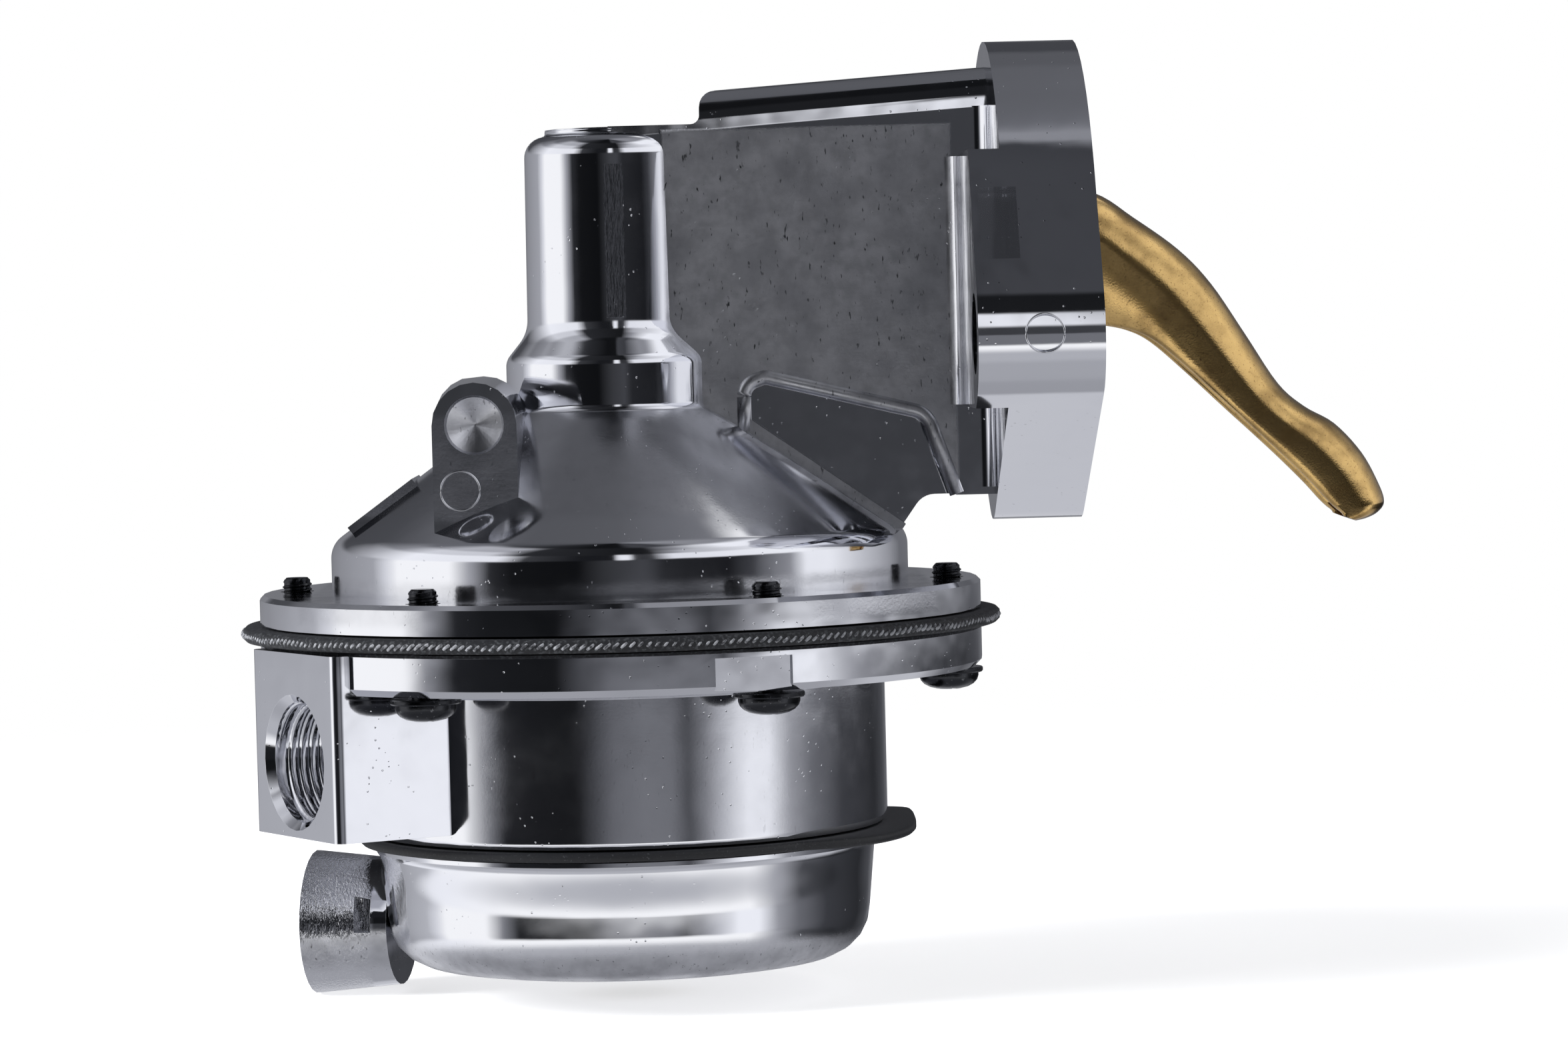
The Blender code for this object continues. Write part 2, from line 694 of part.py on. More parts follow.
def ear_windows():
    """Lightening windows cut into the upper edge of each ear."""
    low_x = FACE_X - EAR_THICKNESS + WINDOW_SKIN
    windows = []
    for side in (-1.0, 1.0):
        inner = side * (BOX_HALF + 5.5 * MM)
        outer = side * BOLT_SPACING
        name = f"window_{'near' if side < 0.0 else 'far'}"
        low = (low_x, min(inner, outer), WINDOW_Z[0])
        high = (low_x + WINDOW_WIDTH, max(inner, outer), WINDOW_Z[1])
        windows.append(box(name, low, high))
    return windows


def pin_slots():
    """Slots for the pivot pin, let in from the flange's face and round at the bottom."""
    radius = PIN_R + RUNNING_FIT
    outline = [
        (FACE_X + 1.0 * MM, PIVOT_Z - radius),
        (FACE_X + 1.0 * MM, PIVOT_Z + radius),
        *arc((PIVOT_X, PIVOT_Z), radius, 90.0, 270.0, 8),
    ]
    half = PIN_HALF + GAP
    return prism("pin_slots", outline, "XZ", -half, half)


def lug():
    """The upright lug on the cone's left front, with a drilled spot and an ejector mark on its face."""
    foot = HOUSING_Z + DOME_WALL
    crown = arc((LUG_X, LUG_TOP_Z), LUG_R, 180.0, 0.0, 10)
    outline = [(LUG_X - LUG_R, foot), *crown, (LUG_X + LUG_R, foot)]
    body = prism("lug", outline, "XZ", LUG_FACE_Y, LUG_BACK_Y)
    for vertex in body.data.vertices:
        if vertex.co.y > (LUG_FACE_Y + LUG_BACK_Y) / 2.0:
            vertex.co.x += math.copysign(LUG_DRAFT, vertex.co.x - LUG_X)
            vertex.co.z += LUG_DRAFT if vertex.co.z > LUG_TOP_Z else 0.0
    face = Vector((LUG_X, LUG_FACE_Y, LUG_TOP_Z))
    inwards = Vector((0.0, 1.0, 0.0)) * MM
    spot_profile = [(3.9 * MM, -0.1 * MM), (3.6 * MM, 1.0 * MM), (0.3 * MM, 2.6 * MM)]
    spot = turned("lug_spot", spot_profile, face, face + inwards, MEDIUM)
    mark_place = face + Vector((-2.0, 0.0, -8.5)) * MM
    mark_end = mark_place + inwards.normalized() * MARK_DEPTH
    mark = rod_between("ejector_mark", mark_place - 0.1 * inwards, mark_end, MARK_R, steps=SMALL)
    return body, (spot, mark)


def bare_pad():
    """The low raised pad on the cone's left side."""
    outer_r = DOME_R - PAD_FROM_DOME
    inner_r = outer_r - PAD_LENGTH
    sunk = 2.0 * MM
    outline = [
        (-inner_r, cone_height(inner_r) + PAD_STANDS_OUT),
        (-outer_r, cone_height(outer_r) + PAD_STANDS_OUT),
        (-outer_r + sunk, cone_height(outer_r) - sunk),
        (-inner_r + sunk, cone_height(inner_r) - sunk),
    ]
    return prism("bare_pad", outline, "XZ", -PAD_HALF, PAD_HALF)


def tower_stripe():
    """The low casting stripe down the front of the tower."""
    low = HOUSING_Z + TOWER_FOOT + 1.5 * MM
    high = HOUSING_Z + TOWER_TOP - 5.0 * MM
    reach = TOWER_R + STRIPE_STANDS_OUT
    half = STRIPE_WIDTH / 2.0
    return box("stripe", (STRIPE_X - half, -reach, low), (STRIPE_X + half, -TOWER_R + 1.5 * MM, high))


def make_upper_housing():
    housing = revolve("upper_housing", dome_profile())
    lug_body, lug_cuts = lug()
    unite(housing, arm_box(), flange(), *fillet_strips(), lug_body, bare_pad(), tower_stripe())
    ends = (FACE_X - EAR_THICKNESS - 1.0 * MM, FACE_X + 1.0 * MM)
    bolts = [
        rod_between(f"bolt_hole_{i + 1}", *[(x, y, BOLT_Z) for x in ends], BOLT_HOLE_R, steps=MEDIUM)
        for i, y in enumerate((-BOLT_SPACING / 2.0, BOLT_SPACING / 2.0))
    ]
    hollow = revolve("dome_hollow", inner_profile(), MEDIUM)
    holes = screw_holes("upper_hole", HOUSING_Z - 1.0 * MM, HOUSING_Z + UPPER_RIM + 1.0 * MM)
    subtract(housing, hollow, box_hollow(), pin_slots(), *side_pockets(), *ear_windows())
    subtract(housing, *bolts, *lug_cuts, *holes)
    return housing


# The arm's fork end goes this far past the rod. Its back and its lower edge follow, in millimetres from the
# pivot, from the fork to the wear pad.
ARM_INNER_END = -(PIVOT_X / MM + 4.0)
ARM_BACK = [
    (ARM_INNER_END, 2.8), (-40.0, 3.0), (-22.0, 4.8), (-8.0, 7.2),
    (3.0, 7.6), (11.9, 5.7), (17.3, 2.2), (23.3, -2.3),
    (27.6, -7.0), (32.0, -13.8), (36.3, -20.6), (39.8, -23.8), (43.6, -26.0), (47.2, -30.2), (49.4, -34.7),
]
ARM_TIP = [(50.2, -36.5), (48.4, -37.8), (46.1, -39.1)]
ARM_LOWER = [
    (43.9, -38.3), (38.2, -32.0), (29.5, -23.7), (20.8, -15.3), (16.4, -12.9), (11.0, -11.9), (2.0, -10.6),
    (-7.0, -7.0), (-20.0, -2.8), (-40.0, -1.8), (ARM_INNER_END, -1.6),
]


def from_pivot(points):
    return [(PIVOT_X + x * MM, PIVOT_Z + z * MM) for x, z in points]


def make_rocker_arm():
    """A stamped channel, its web along the back, with the pin's holes, and a fork at the inner end."""
    back = smooth_line(from_pivot(ARM_BACK), 2)
    lower = smooth_line(from_pivot(ARM_LOWER), 2)
    arm = prism("rocker_arm", back + from_pivot(ARM_TIP) + lower, "XZ", -ARM_HALF, ARM_HALF)
    inner_back = offset_line(back, ARM_SHEET)
    first = inner_back[0]
    below = from_pivot([(44.0, -60.0), (-10.0, -40.0), (ARM_INNER_END - 3.0, -12.0)])
    hollow = [(first[0] - 5.0 * MM, first[1]), *inner_back, *below, (first[0] - 5.0 * MM, below[-1][1])]
    inside = prism("arm_hollow", hollow, "XZ", -ARM_HALF + ARM_SHEET, ARM_HALF - ARM_SHEET)
    reach = ARM_HALF + 1.0 * MM
    ends = ((PIVOT_X, -reach, PIVOT_Z), (PIVOT_X, reach, PIVOT_Z))
    pin_hole = rod_between("arm_pin_hole", *ends, PIN_R + RUNNING_FIT, steps=MEDIUM)
    slot = [
        (-8.0 * MM, -FORK_SLOT_R),
        *arc((0.6 * MM, 0.0), FORK_SLOT_R, -90.0, 90.0, 8),
        (-8.0 * MM, FORK_SLOT_R),
    ]
    fork = prism("fork_slot", slot, "XY", PIVOT_Z - 10.0 * MM, PIVOT_Z + 10.0 * MM)
    return subtract(arm, pin_hole, inside, fork)


def make_pivot_pin():
    half = PIN_HALF
    return rod_between("pivot_pin", (PIVOT_X, -half, PIVOT_Z), (PIVOT_X, half, PIVOT_Z), PIN_R, steps=MEDIUM)


def arm_back_height(x):
    """Height of the arm's back above a place on the inner lever."""
    points = from_pivot(ARM_BACK)
    for (x0, z0), (x1, z1) in zip(points, points[1:]):
        if x0 <= x <= x1:
            return z0 + (z1 - z0) * (x - x0) / (x1 - x0)
    return points[0][1]


def make_arm_spring():
    bottom = arm_back_height(ARM_SPRING_X + ARM_SPRING["radius"]) + GAP * 1.5
    top = ROOF_LOW - ROOF_WALL - GAP
    return coil("arm_return_spring", ARM_SPRING, bottom, top, at=(ARM_SPRING_X, 0.0), per_turn=9)


def rod_levels():
    """Heights along the pull rod, from the bush on the fork to the rod's top."""
    bush = arm_back_height(0.0) + GAP
    head = bush + BUSH + GAP
    return bush, head, head + ROD_HEAD


def plate_levels():
    """Heights of the two plates and the nut that clamp the diaphragm's middle."""
    upper = DIAPHRAGM_Z + DIAPHRAGM_THICKNESS + GAP
    lower = DIAPHRAGM_Z - GAP - PLATE_SHEET
    nut = lower - GAP - NUT_HEIGHT
    return upper, lower, nut


def make_pull_rod():
    head, top = rod_levels()[1:]
    nut = plate_levels()[2]
    profile = [
        (0.0, top),
        (ROD_HEAD_R - 0.4 * MM, top),
        (ROD_HEAD_R, top - 0.4 * MM),
        (ROD_HEAD_R, head),
        (ROD_R, head),
        (ROD_R, nut - 0.8 * MM),
        (ROD_R - 0.5 * MM, nut - 1.3 * MM),
        (0.0, nut - 1.3 * MM),
    ]
    return revolve("pull_rod", profile, SMALL)


def make_rod_bush():
    bush = rod_levels()[0]
    bore = ROD_R + GAP
    profile = [
        (bore, bush + BUSH),
        (ROD_HEAD_R, bush + BUSH),
        (ROD_HEAD_R, bush + BUSH * 0.5),
        (bore + 0.4 * MM, bush),
        (bore, bush),
    ]
    return revolve("rod_bush", profile, SMALL)


def make_rod_nut():
    nut = plate_levels()[2]
    place = (0.0, 0.0, nut)
    body = rod_between("rod_nut", place, (0.0, 0.0, nut + NUT_HEIGHT), NUT_R, steps=6)
    ends = ((0.0, 0.0, nut - 1.0 * MM), (0.0, 0.0, nut + NUT_HEIGHT + 1.0 * MM))
    bore = rod_between("nut_bore", *ends, ROD_R + GAP, steps=SMALL)
    return subtract(body, bore)


def make_upper_plate():
    z = plate_levels()[0]
    radius = UPPER_PLATE_R
    bore = ROD_R + GAP
    profile = [
        (bore, z + PLATE_SHEET),
        (radius - PLATE_SHEET, z + PLATE_SHEET),
        (radius - PLATE_SHEET, z + PLATE_LIP),
        (radius, z + PLATE_LIP),
        (radius, z + 1.0 * MM),
        (radius - 1.0 * MM, z),
        (bore, z),
    ]
    return revolve("upper_plate", profile, MEDIUM)


def make_lower_plate():
    z = plate_levels()[1]
    radius = LOWER_PLATE_R
    bore = ROD_R + GAP
    profile = [
        (bore, z + PLATE_SHEET),
        (radius - 1.0 * MM, z + PLATE_SHEET),
        (radius, z + PLATE_SHEET - 1.0 * MM),
        (radius, z + PLATE_SHEET - PLATE_LIP),
        (radius - PLATE_SHEET, z + PLATE_SHEET - PLATE_LIP),
        (radius - PLATE_SHEET, z),
        (bore, z),
    ]
    return revolve("lower_plate", profile, MEDIUM)


def make_diaphragm():
    """The clamped disc, with the rod's hole and the screw holes."""
    z = DIAPHRAGM_Z
    top = z + DIAPHRAGM_THICKNESS
    profile = [
        (ROD_R + GAP, top),
        (DIAPHRAGM_R, top),
        (DIAPHRAGM_R, z),
        (ROD_R + GAP, z),
    ]
    disc = revolve("diaphragm", profile)
    return subtract(disc, *screw_holes("diaphragm_hole", z - 1.0 * MM, top + 1.0 * MM))


def make_seal():
    bottom = seal_levels()[0]
    top = bottom + SEAL_HEIGHT
    bore = ROD_R + GAP
    profile = [
        (bore, top),
        (SEAL_R - 0.8 * MM, top),
        (SEAL_R, top - 0.8 * MM),
        (SEAL_R, bottom),
        (SEAL_R - 1.5 * MM, bottom),
        (SEAL_R - 2.0 * MM, bottom + 2.5 * MM),
        (bore + 0.8 * MM, bottom + 2.5 * MM),
        (bore, bottom + 1.0 * MM),
    ]
    return revolve("rod_seal", profile, SMALL)


def retainer_z():
    """Underside of the disc that holds the seal up, against which the diaphragm's spring pushes."""
    return seal_levels()[0] - GAP - PLATE_SHEET


def make_seal_retainer():
    top = retainer_z() + PLATE_SHEET
    lip = retainer_z() - 1.5 * MM
    inner = DIAPHRAGM_SPRING["radius"] - DIAPHRAGM_SPRING["wire"]
    bore = ROD_R + GAP
    profile = [
        (bore, top),
        (RETAINER_R, top),
        (RETAINER_R, retainer_z()),
        (inner, retainer_z()),
        (inner, lip),
        (inner - PLATE_SHEET, lip),
        (inner - PLATE_SHEET, retainer_z()),
        (bore, retainer_z()),
    ]
    return revolve("seal_retainer", profile, MEDIUM)


def make_diaphragm_spring():
    bottom = plate_levels()[0] + PLATE_SHEET + GAP
    return coil("diaphragm_spring", DIAPHRAGM_SPRING, bottom, retainer_z() - GAP)


def valve_place(side):
    """Centre of a valve: side 1 is the inlet's, towards the port block, and side -1 the outlet's."""
    return side * round_point(VALVE_CIRCLE_R, INLET_ANGLE)


def port_block():
    """The square block round the inlet port, its upright edges bevelled."""
    edge = 1.3 * MM
    corners = rounded(
        [
            (-BLOCK_HALF, -BLOCK_REACH, edge),
            (BLOCK_HALF, -BLOCK_REACH, edge),
            (BLOCK_HALF, -BLOCK_ROOT, 0.0),
            (-BLOCK_HALF, -BLOCK_ROOT, 0.0),
        ],
        count=3,
    )
    block = prism("port_block", corners, "XY", *BLOCK_Z)
    block.data.transform(Matrix.Rotation(INLET_ANGLE, 4, "Z"))
    return block


def inlet_bores():
    """The port's chamfered mouth and taper bore in one, and the passage to the inlet valve's well."""
    mouth = round_point(BLOCK_REACH, INLET_ANGLE, PORT_Z)
    start = round_point(BLOCK_REACH - PORT_DEPTH + 1.0 * MM, INLET_ANGLE, PASSAGE_Z)
    end = round_point(VALVE_CIRCLE_R, INLET_ANGLE, PASSAGE_Z)
    port = [
        (PORT_MOUTH_R + 1.0 * MM, -1.0 * MM),
        (PORT_R, PORT_MOUTH_R - PORT_R),
        (PORT_END_R, PORT_DEPTH),
    ]
    return (
        turned("port_bore", port, mouth, round_point(0.0, INLET_ANGLE, PORT_Z)),
        rod_between("port_passage", start, end, PASSAGE_R, steps=SMALL),
    )


def body_profile():
    """The lower casting outside its hollows: the rim, a bevel under it and the round wall."""
    rim = BODY_TOP - LOWER_RIM
    return [
        (0.0, BODY_TOP),
        (RIM_R - 0.4 * MM, BODY_TOP),
        (RIM_R, BODY_TOP - 0.4 * MM),
        (RIM_R, rim + 0.9 * MM),
        (RIM_R - 0.9 * MM, rim),
        (BODY_R + 1.2 * MM, rim),
        (BODY_R, rim - 1.2 * MM),
        (BODY_R, BODY_Z + 1.0 * MM),
        (BODY_R - 0.6 * MM, BODY_Z),
        (0.0, BODY_Z),
    ]


def make_valve_body():
    body = revolve("valve_body", body_profile())
    chamber = revolve(
        "upper_chamber",
        [
            (0.0, BODY_TOP + 1.0 * MM),
            (CHAMBER_R, BODY_TOP + 1.0 * MM),
            (CHAMBER_R, BODY_TOP - 2.0 * MM),
            (CHAMBER_FLOOR_R, DECK_TOP),
            (0.0, DECK_TOP),
        ],
        MEDIUM,
    )
    deck_under = DECK_TOP - DECK
    lower_r = BODY_R - BODY_WALL
    lower = revolve(
        "lower_chamber",
        [
            (BOSS_R, deck_under),
            (lower_r, deck_under),
            (lower_r, BODY_Z - 1.0 * MM),
            (0.0, BODY_Z - 1.0 * MM),
            (0.0, BODY_Z + 1.5 * MM),
            (BOSS_R, BODY_Z + 1.5 * MM),
        ],
        MEDIUM,
    )
    well_place = valve_place(1.0)
    well_bottom = Vector((well_place.x, well_place.y, BODY_Z + 0.2 * MM))
    well_top = Vector((well_place.x, well_place.y, DECK_TOP - 1.0 * MM))
    well = rod_between("inlet_well", well_bottom, well_top, WELL_R)
    unite(body, port_block())
    subtract(body, chamber, lower)
    unite(body, well, passage_duct())
    screws = screw_holes("lower_hole", BODY_TOP - 10.0 * MM, BODY_TOP + 1.0 * MM)
    bolt = ((0.0, 0.0, BODY_Z), (0.0, 0.0, DECK_TOP - 1.2 * MM))
    bolt_hole = rod_between("body_bolt_hole", *bolt, BOLT_R + GAP, steps=SMALL)
    return subtract(body, *inlet_bores(), *valve_bores(), *screws, notch(), bolt_hole)


def passage_duct():
    """The wall round the inlet passage where it crosses the lower chamber to the well."""
    radius = PASSAGE_R + 2.2 * MM
    start = round_point(BODY_R - 1.0 * MM, INLET_ANGLE, PASSAGE_Z)
    end = round_point(VALVE_CIRCLE_R + SEAT_R, INLET_ANGLE, PASSAGE_Z)
    return rod_between("passage_duct", start, end, radius, steps=SMALL)


def valve_bores():
    """The stepped bores that hold the two valve seats."""
    bores = []
    seat = SEAT_R + GAP
    for label, side in (("inlet", 1.0), ("outlet", -1.0)):
        place = valve_place(side)
        top = DECK_TOP + 1.0 * MM
        low = BODY_Z + WELL_FLOOR if side > 0.0 else DECK_TOP - DECK - 1.0 * MM
        shoulder = DECK_TOP - SEAT - GAP
        if side > 0.0:
            profile = [(0.0, top), (seat, top), (seat, shoulder)]
            profile += [(LEDGE_R, shoulder), (LEDGE_R, low), (0.0, low)]
        else:
            shoulder = DECK_TOP - DECK + SEAT + GAP
            profile = [(0.0, top), (LEDGE_R, top), (LEDGE_R, shoulder)]
            profile += [(seat, shoulder), (seat, low), (0.0, low)]
        bores.append(revolve(f"{label}_valve_bore", profile, MEDIUM, at=(place.x, place.y, 0.0)))
    return bores


def notch():
    """The flat milled on the rim near the front screw."""
    depth = RIM_R - NOTCH_DEPTH
    half = NOTCH_WIDTH / 2.0
    low = BODY_TOP - LOWER_RIM - 1.0 * MM
    flat = box("rim_notch", (-half, -RIM_R - 2.0 * MM, low), (half, -depth, BODY_TOP - 1.0 * MM))
    flat.data.transform(Matrix.Rotation(NOTCH_ANGLE, 4, "Z"))
    return flat


def make_valve(label, side):
    """One check valve: a seat with four ports, a headed stem, a disc and its light spring."""
    place = valve_place(side)
    at = (place.x, place.y, 0.0)
    up = 1.0 if side > 0.0 else -1.0
    base = DECK_TOP - SEAT if side > 0.0 else DECK_TOP - DECK + SEAT
    face = base + up * SEAT
    seat = revolve(
        f"{label}_valve_seat",
        order([(0.0, base), (SEAT_R, base), (SEAT_R, face), (0.0, face)], up),
        MEDIUM,
        at,
    )
    cuts = []
    for i in range(4):
        turn = i * math.pi / 2.0
        offset = Vector((math.cos(turn), math.sin(turn), 0.0)) * SEAT_PORT_CIRCLE_R
        ends = [place + offset + Vector((0.0, 0.0, z)) for z in (base - up * 1.0 * MM, face + up * 1.0 * MM)]
        cuts.append(rod_between(f"{label}_port_{i}", *ends, SEAT_PORT_R, steps=8))
    ends = [place + Vector((0.0, 0.0, z)) for z in (base - up * 1.0 * MM, face + up * 1.0 * MM)]
    cuts.append(rod_between(f"{label}_stem_hole", *ends, STEM_R + GAP, steps=10))
    subtract(seat, *cuts)
    disc_low = face + up * GAP
    disc_high = disc_low + up * DISC
    bore = STEM_R + GAP
    disc = revolve(
        f"{label}_valve_disc",
        order([(bore, disc_low), (DISC_R, disc_low), (DISC_R, disc_high), (bore, disc_high)], up),
        SMALL,
        at,
    )
    head = disc_high + up * (VALVE_SPRING_LENGTH + 2.0 * GAP)
    foot = base - up * 0.7 * MM
    stem = revolve(
        f"{label}_valve_stem",
        order(
            [
                (0.0, foot),
                (STEM_R + 0.9 * MM, foot),
                (STEM_R + 0.9 * MM, base - up * GAP),
                (STEM_R, base - up * GAP),
                (STEM_R, head),
                (STEM_HEAD_R, head),
                (STEM_HEAD_R, head + up * 0.8 * MM),
                (0.0, head + up * 0.8 * MM),
            ],
            up,
        ),
        SMALL,
        at,
    )
    low, high = sorted((disc_high + up * GAP, head - up * GAP))
    spring = coil(f"{label}_valve_spring", VALVE_SPRING, low, high, at=(place.x, place.y), per_turn=8)
    return seat, stem, disc, spring


def order(profile, up):
    """The profile as it stands for a valve that opens upwards, reversed for one that opens downwards."""
    return profile if up > 0.0 else profile[::-1]


def make_gasket():
    """A flat ring with a rounded tab that stands out past the castings."""
    top = GASKET_Z + GASKET_THICKNESS
    ring = rod_between("cover_gasket", (0.0, 0.0, GASKET_Z), (0.0, 0.0, top), GASKET_R, steps=FINE)
    inside = GASKET_R - 9.0 * MM
    corners = rounded(
        [
            (inside, TAB_HALF, 0.0),
            (inside - 5.0 * MM, -TAB_HALF - 9.0 * MM, 0.0),
            (GASKET_R - 1.5 * MM, -TAB_HALF - 7.0 * MM, 5.0 * MM),
            (TAB_REACH, -TAB_HALF + 3.0 * MM, 6.0 * MM),
            (TAB_REACH, TAB_HALF, 5.0 * MM),
        ],
        count=4,
    )
    tab = prism("gasket_tab", corners, "XY", GASKET_Z, GASKET_Z + GASKET_THICKNESS)
    unite(ring, tab)
    ends = ((0.0, 0.0, GASKET_Z - 1.0 * MM), (0.0, 0.0, GASKET_Z + GASKET_THICKNESS + 1.0 * MM))
    hole = rod_between("gasket_hole", *ends, GASKET_HOLE_R, steps=MEDIUM)
    return subtract(ring, hole)


def make_bottom_cover():
    """A cup with a flared rim, a rounded foot, a centre boss for the bolt and a tapered port boss."""
    foot_r = COVER_FOOT_R
    outside = [
        (0.0, COVER_HEIGHT),
        (COVER_R + 0.6 * MM, COVER_HEIGHT),
        (COVER_R + 0.6 * MM, COVER_HEIGHT - 0.6 * MM),
        (COVER_R, COVER_HEIGHT - 1.5 * MM),
        *arc((foot_r - COVER_ROUND, COVER_ROUND), COVER_ROUND, 0.0, -90.0, 5),
        (0.0, 0.0),
    ]
    cover = revolve("bottom_cover", outside)
    root = round_point(OUTLET_ROOT, OUTLET_ANGLE, OUTLET_Z)
    reach = round_point(OUTLET_REACH, OUTLET_ANGLE, OUTLET_Z)
    boss = rod_between("outlet_boss", root, reach, OUTLET_ROOT_R, OUTLET_END_R)
    unite(cover, subtract(boss, *boss_pockets()))
    inner_r = COVER_R - COVER_WALL
    hollow = revolve(
        "cover_hollow",
        [
            (COVER_BOSS_R, COVER_HEIGHT + 1.0 * MM),
            (inner_r, COVER_HEIGHT + 1.0 * MM),
            *arc((foot_r - COVER_ROUND, COVER_ROUND), COVER_ROUND - COVER_WALL, 0.0, -90.0, 2),
            (COVER_BOSS_R, COVER_WALL),
        ],
        MEDIUM,
    )
    boss_top = rod_between(
        "boss_top", (0.0, 0.0, COVER_BOSS_TOP), (0.0, 0.0, COVER_HEIGHT + 1.0 * MM), COVER_BOSS_R + 0.2 * MM
    )
    through = ((0.0, 0.0, -1.0 * MM), (0.0, 0.0, COVER_HEIGHT + 1.0 * MM))
    bolt_hole = rod_between("cover_bolt_hole", *through, BOLT_R + GAP, steps=SMALL)
    recess_top = BOLT_HEAD + GAP + BOLT_WASHER + GAP
    recess = rod_between(
        "head_recess", (0.0, 0.0, -1.0 * MM), (0.0, 0.0, recess_top), BOLT_WASHER_R + GAP, steps=MEDIUM
    )
    return subtract(cover, hollow, boss_top, bolt_hole, recess, *outlet_bores())


def boss_pockets():
    """The narrow pockets between the upper half of the outlet boss and the cover's wall, on both sides."""
    pockets = []
    for side in (-1.0, 1.0):
        lateral = sorted((side * POCKET_INNER, side * (OUTLET_END_R + 1.0 * MM)))
        name = f"boss_pocket_{'near' if side < 0.0 else 'far'}"
        low = (lateral[0], -POCKET_REACH, POCKET_FLOOR)
        high = (lateral[1], -COVER_R - 0.6 * MM, COVER_HEIGHT)
        pocket = box(name, low, high)
        pocket.data.transform(Matrix.Rotation(OUTLET_ANGLE, 4, "Z"))
        pockets.append(pocket)
    return pockets


def outlet_bores():
    """The outlet port's mouth and bore in one, and the passage from its bottom into the cup."""
    mouth = round_point(OUTLET_REACH, OUTLET_ANGLE, OUTLET_Z)
    passage_z = OUTLET_Z + 2.5 * MM
    start = round_point(OUTLET_REACH - OUTLET_DEPTH + 0.5 * MM, OUTLET_ANGLE, passage_z)
    end = round_point(COVER_R - COVER_WALL - 6.0 * MM, OUTLET_ANGLE, passage_z)
    port = [
        (OUTLET_MOUTH_R + 1.0 * MM, -1.0 * MM),
        (OUTLET_BORE_R, OUTLET_MOUTH_R - OUTLET_BORE_R),
        (OUTLET_BORE_R - 0.4 * MM, OUTLET_DEPTH),
    ]
    return (
        turned("outlet_bore", port, mouth, round_point(0.0, OUTLET_ANGLE, OUTLET_Z)),
        rod_between("outlet_passage", start, end, PASSAGE_R, steps=SMALL),
    )


def make_cover_bolt():
    """A hexagon-head bolt from below, its head flush with the cover's underside."""
    head = rod_between("cover_bolt", (0.0, 0.0, 0.0), (0.0, 0.0, BOLT_HEAD), BOLT_HEAD_R, steps=6)
    end = DECK_TOP - 1.8 * MM
    shank = rod_between("cover_bolt_shank", (0.0, 0.0, 1.0 * MM), (0.0, 0.0, end), BOLT_R, steps=SMALL)
    return unite(head, shank)


def make_bolt_washer():
    z = BOLT_HEAD + GAP
    profile = [
        (BOLT_R + GAP, z + BOLT_WASHER),
        (BOLT_WASHER_R, z + BOLT_WASHER),
        (BOLT_WASHER_R, z),
        (BOLT_R + GAP, z),
    ]
    return revolve("bolt_washer", profile, MEDIUM)


def make_flange_screw(index, angle):
    """A pan-head screw from below with a washer face under its head, standing out above the upper rim."""
    seat = BODY_TOP - LOWER_RIM - GAP
    top = HOUSING_Z + UPPER_RIM + SCREW_STANDS_OUT
    low = seat - SCREW_HEAD
    dome = SCREW_HEAD - SCREW_WASHER
    profile = [
        (0.0, top),
        (SCREW_R - 0.4 * MM, top),
        (SCREW_R, top - 0.5 * MM),
        (SCREW_R, seat),
        (SCREW_WASHER_R, seat),
        (SCREW_WASHER_R, seat - SCREW_WASHER),
        (SCREW_HEAD_R, seat - SCREW_WASHER),
        *[(SCREW_HEAD_R * math.cos(a) ** 0.6, low + dome * (1.0 - math.sin(a))) for a in (0.5, 1.05)],
        (0.0, low),
    ]
    place = round_point(SCREW_CIRCLE_R, angle)
    return revolve(f"flange_screw_{index}", profile, SMALL, at=(place.x, place.y, 0.0))


# Colour, roughness and metallic of each finish
FINISHES = {
    "polished_casting": ((0.56, 0.57, 0.60), 0.18, 1.0),
    "gold_zinc_steel": ((0.62, 0.44, 0.20), 0.32, 1.0),
    "fabric_rubber": ((0.06, 0.06, 0.065), 0.75, 0.0),
    "black_rubber": ((0.02, 0.02, 0.022), 0.5, 0.0),
    "ground_steel": ((0.50, 0.50, 0.51), 0.28, 1.0),
    "pressed_steel": ((0.46, 0.46, 0.46), 0.38, 1.0),
    "bush_nylon": ((0.75, 0.73, 0.66), 0.5, 0.0),
    "spring_steel": ((0.40, 0.40, 0.41), 0.35, 1.0),
    "valve_brass": ((0.60, 0.43, 0.16), 0.3, 1.0),
    "valve_plastic": ((0.10, 0.10, 0.11), 0.5, 0.0),
    "copper": ((0.65, 0.32, 0.20), 0.35, 1.0),
    "black_oxide_steel": ((0.03, 0.03, 0.033), 0.3, 0.8),
}


def paint(finish, *objects):
    """Gives each object its own material of this finish."""
    for obj in objects:
        obj.data.materials.clear()
        obj.data.materials.append(make_material(f"{obj.name}_{finish}", *FINISHES[finish]))


def turn_about(obj, point):
    """Moves the object's origin to its joint's axis, with the solid left where it is."""
    obj.data.transform(Matrix.Translation(-Vector(point)))
    obj.location = point


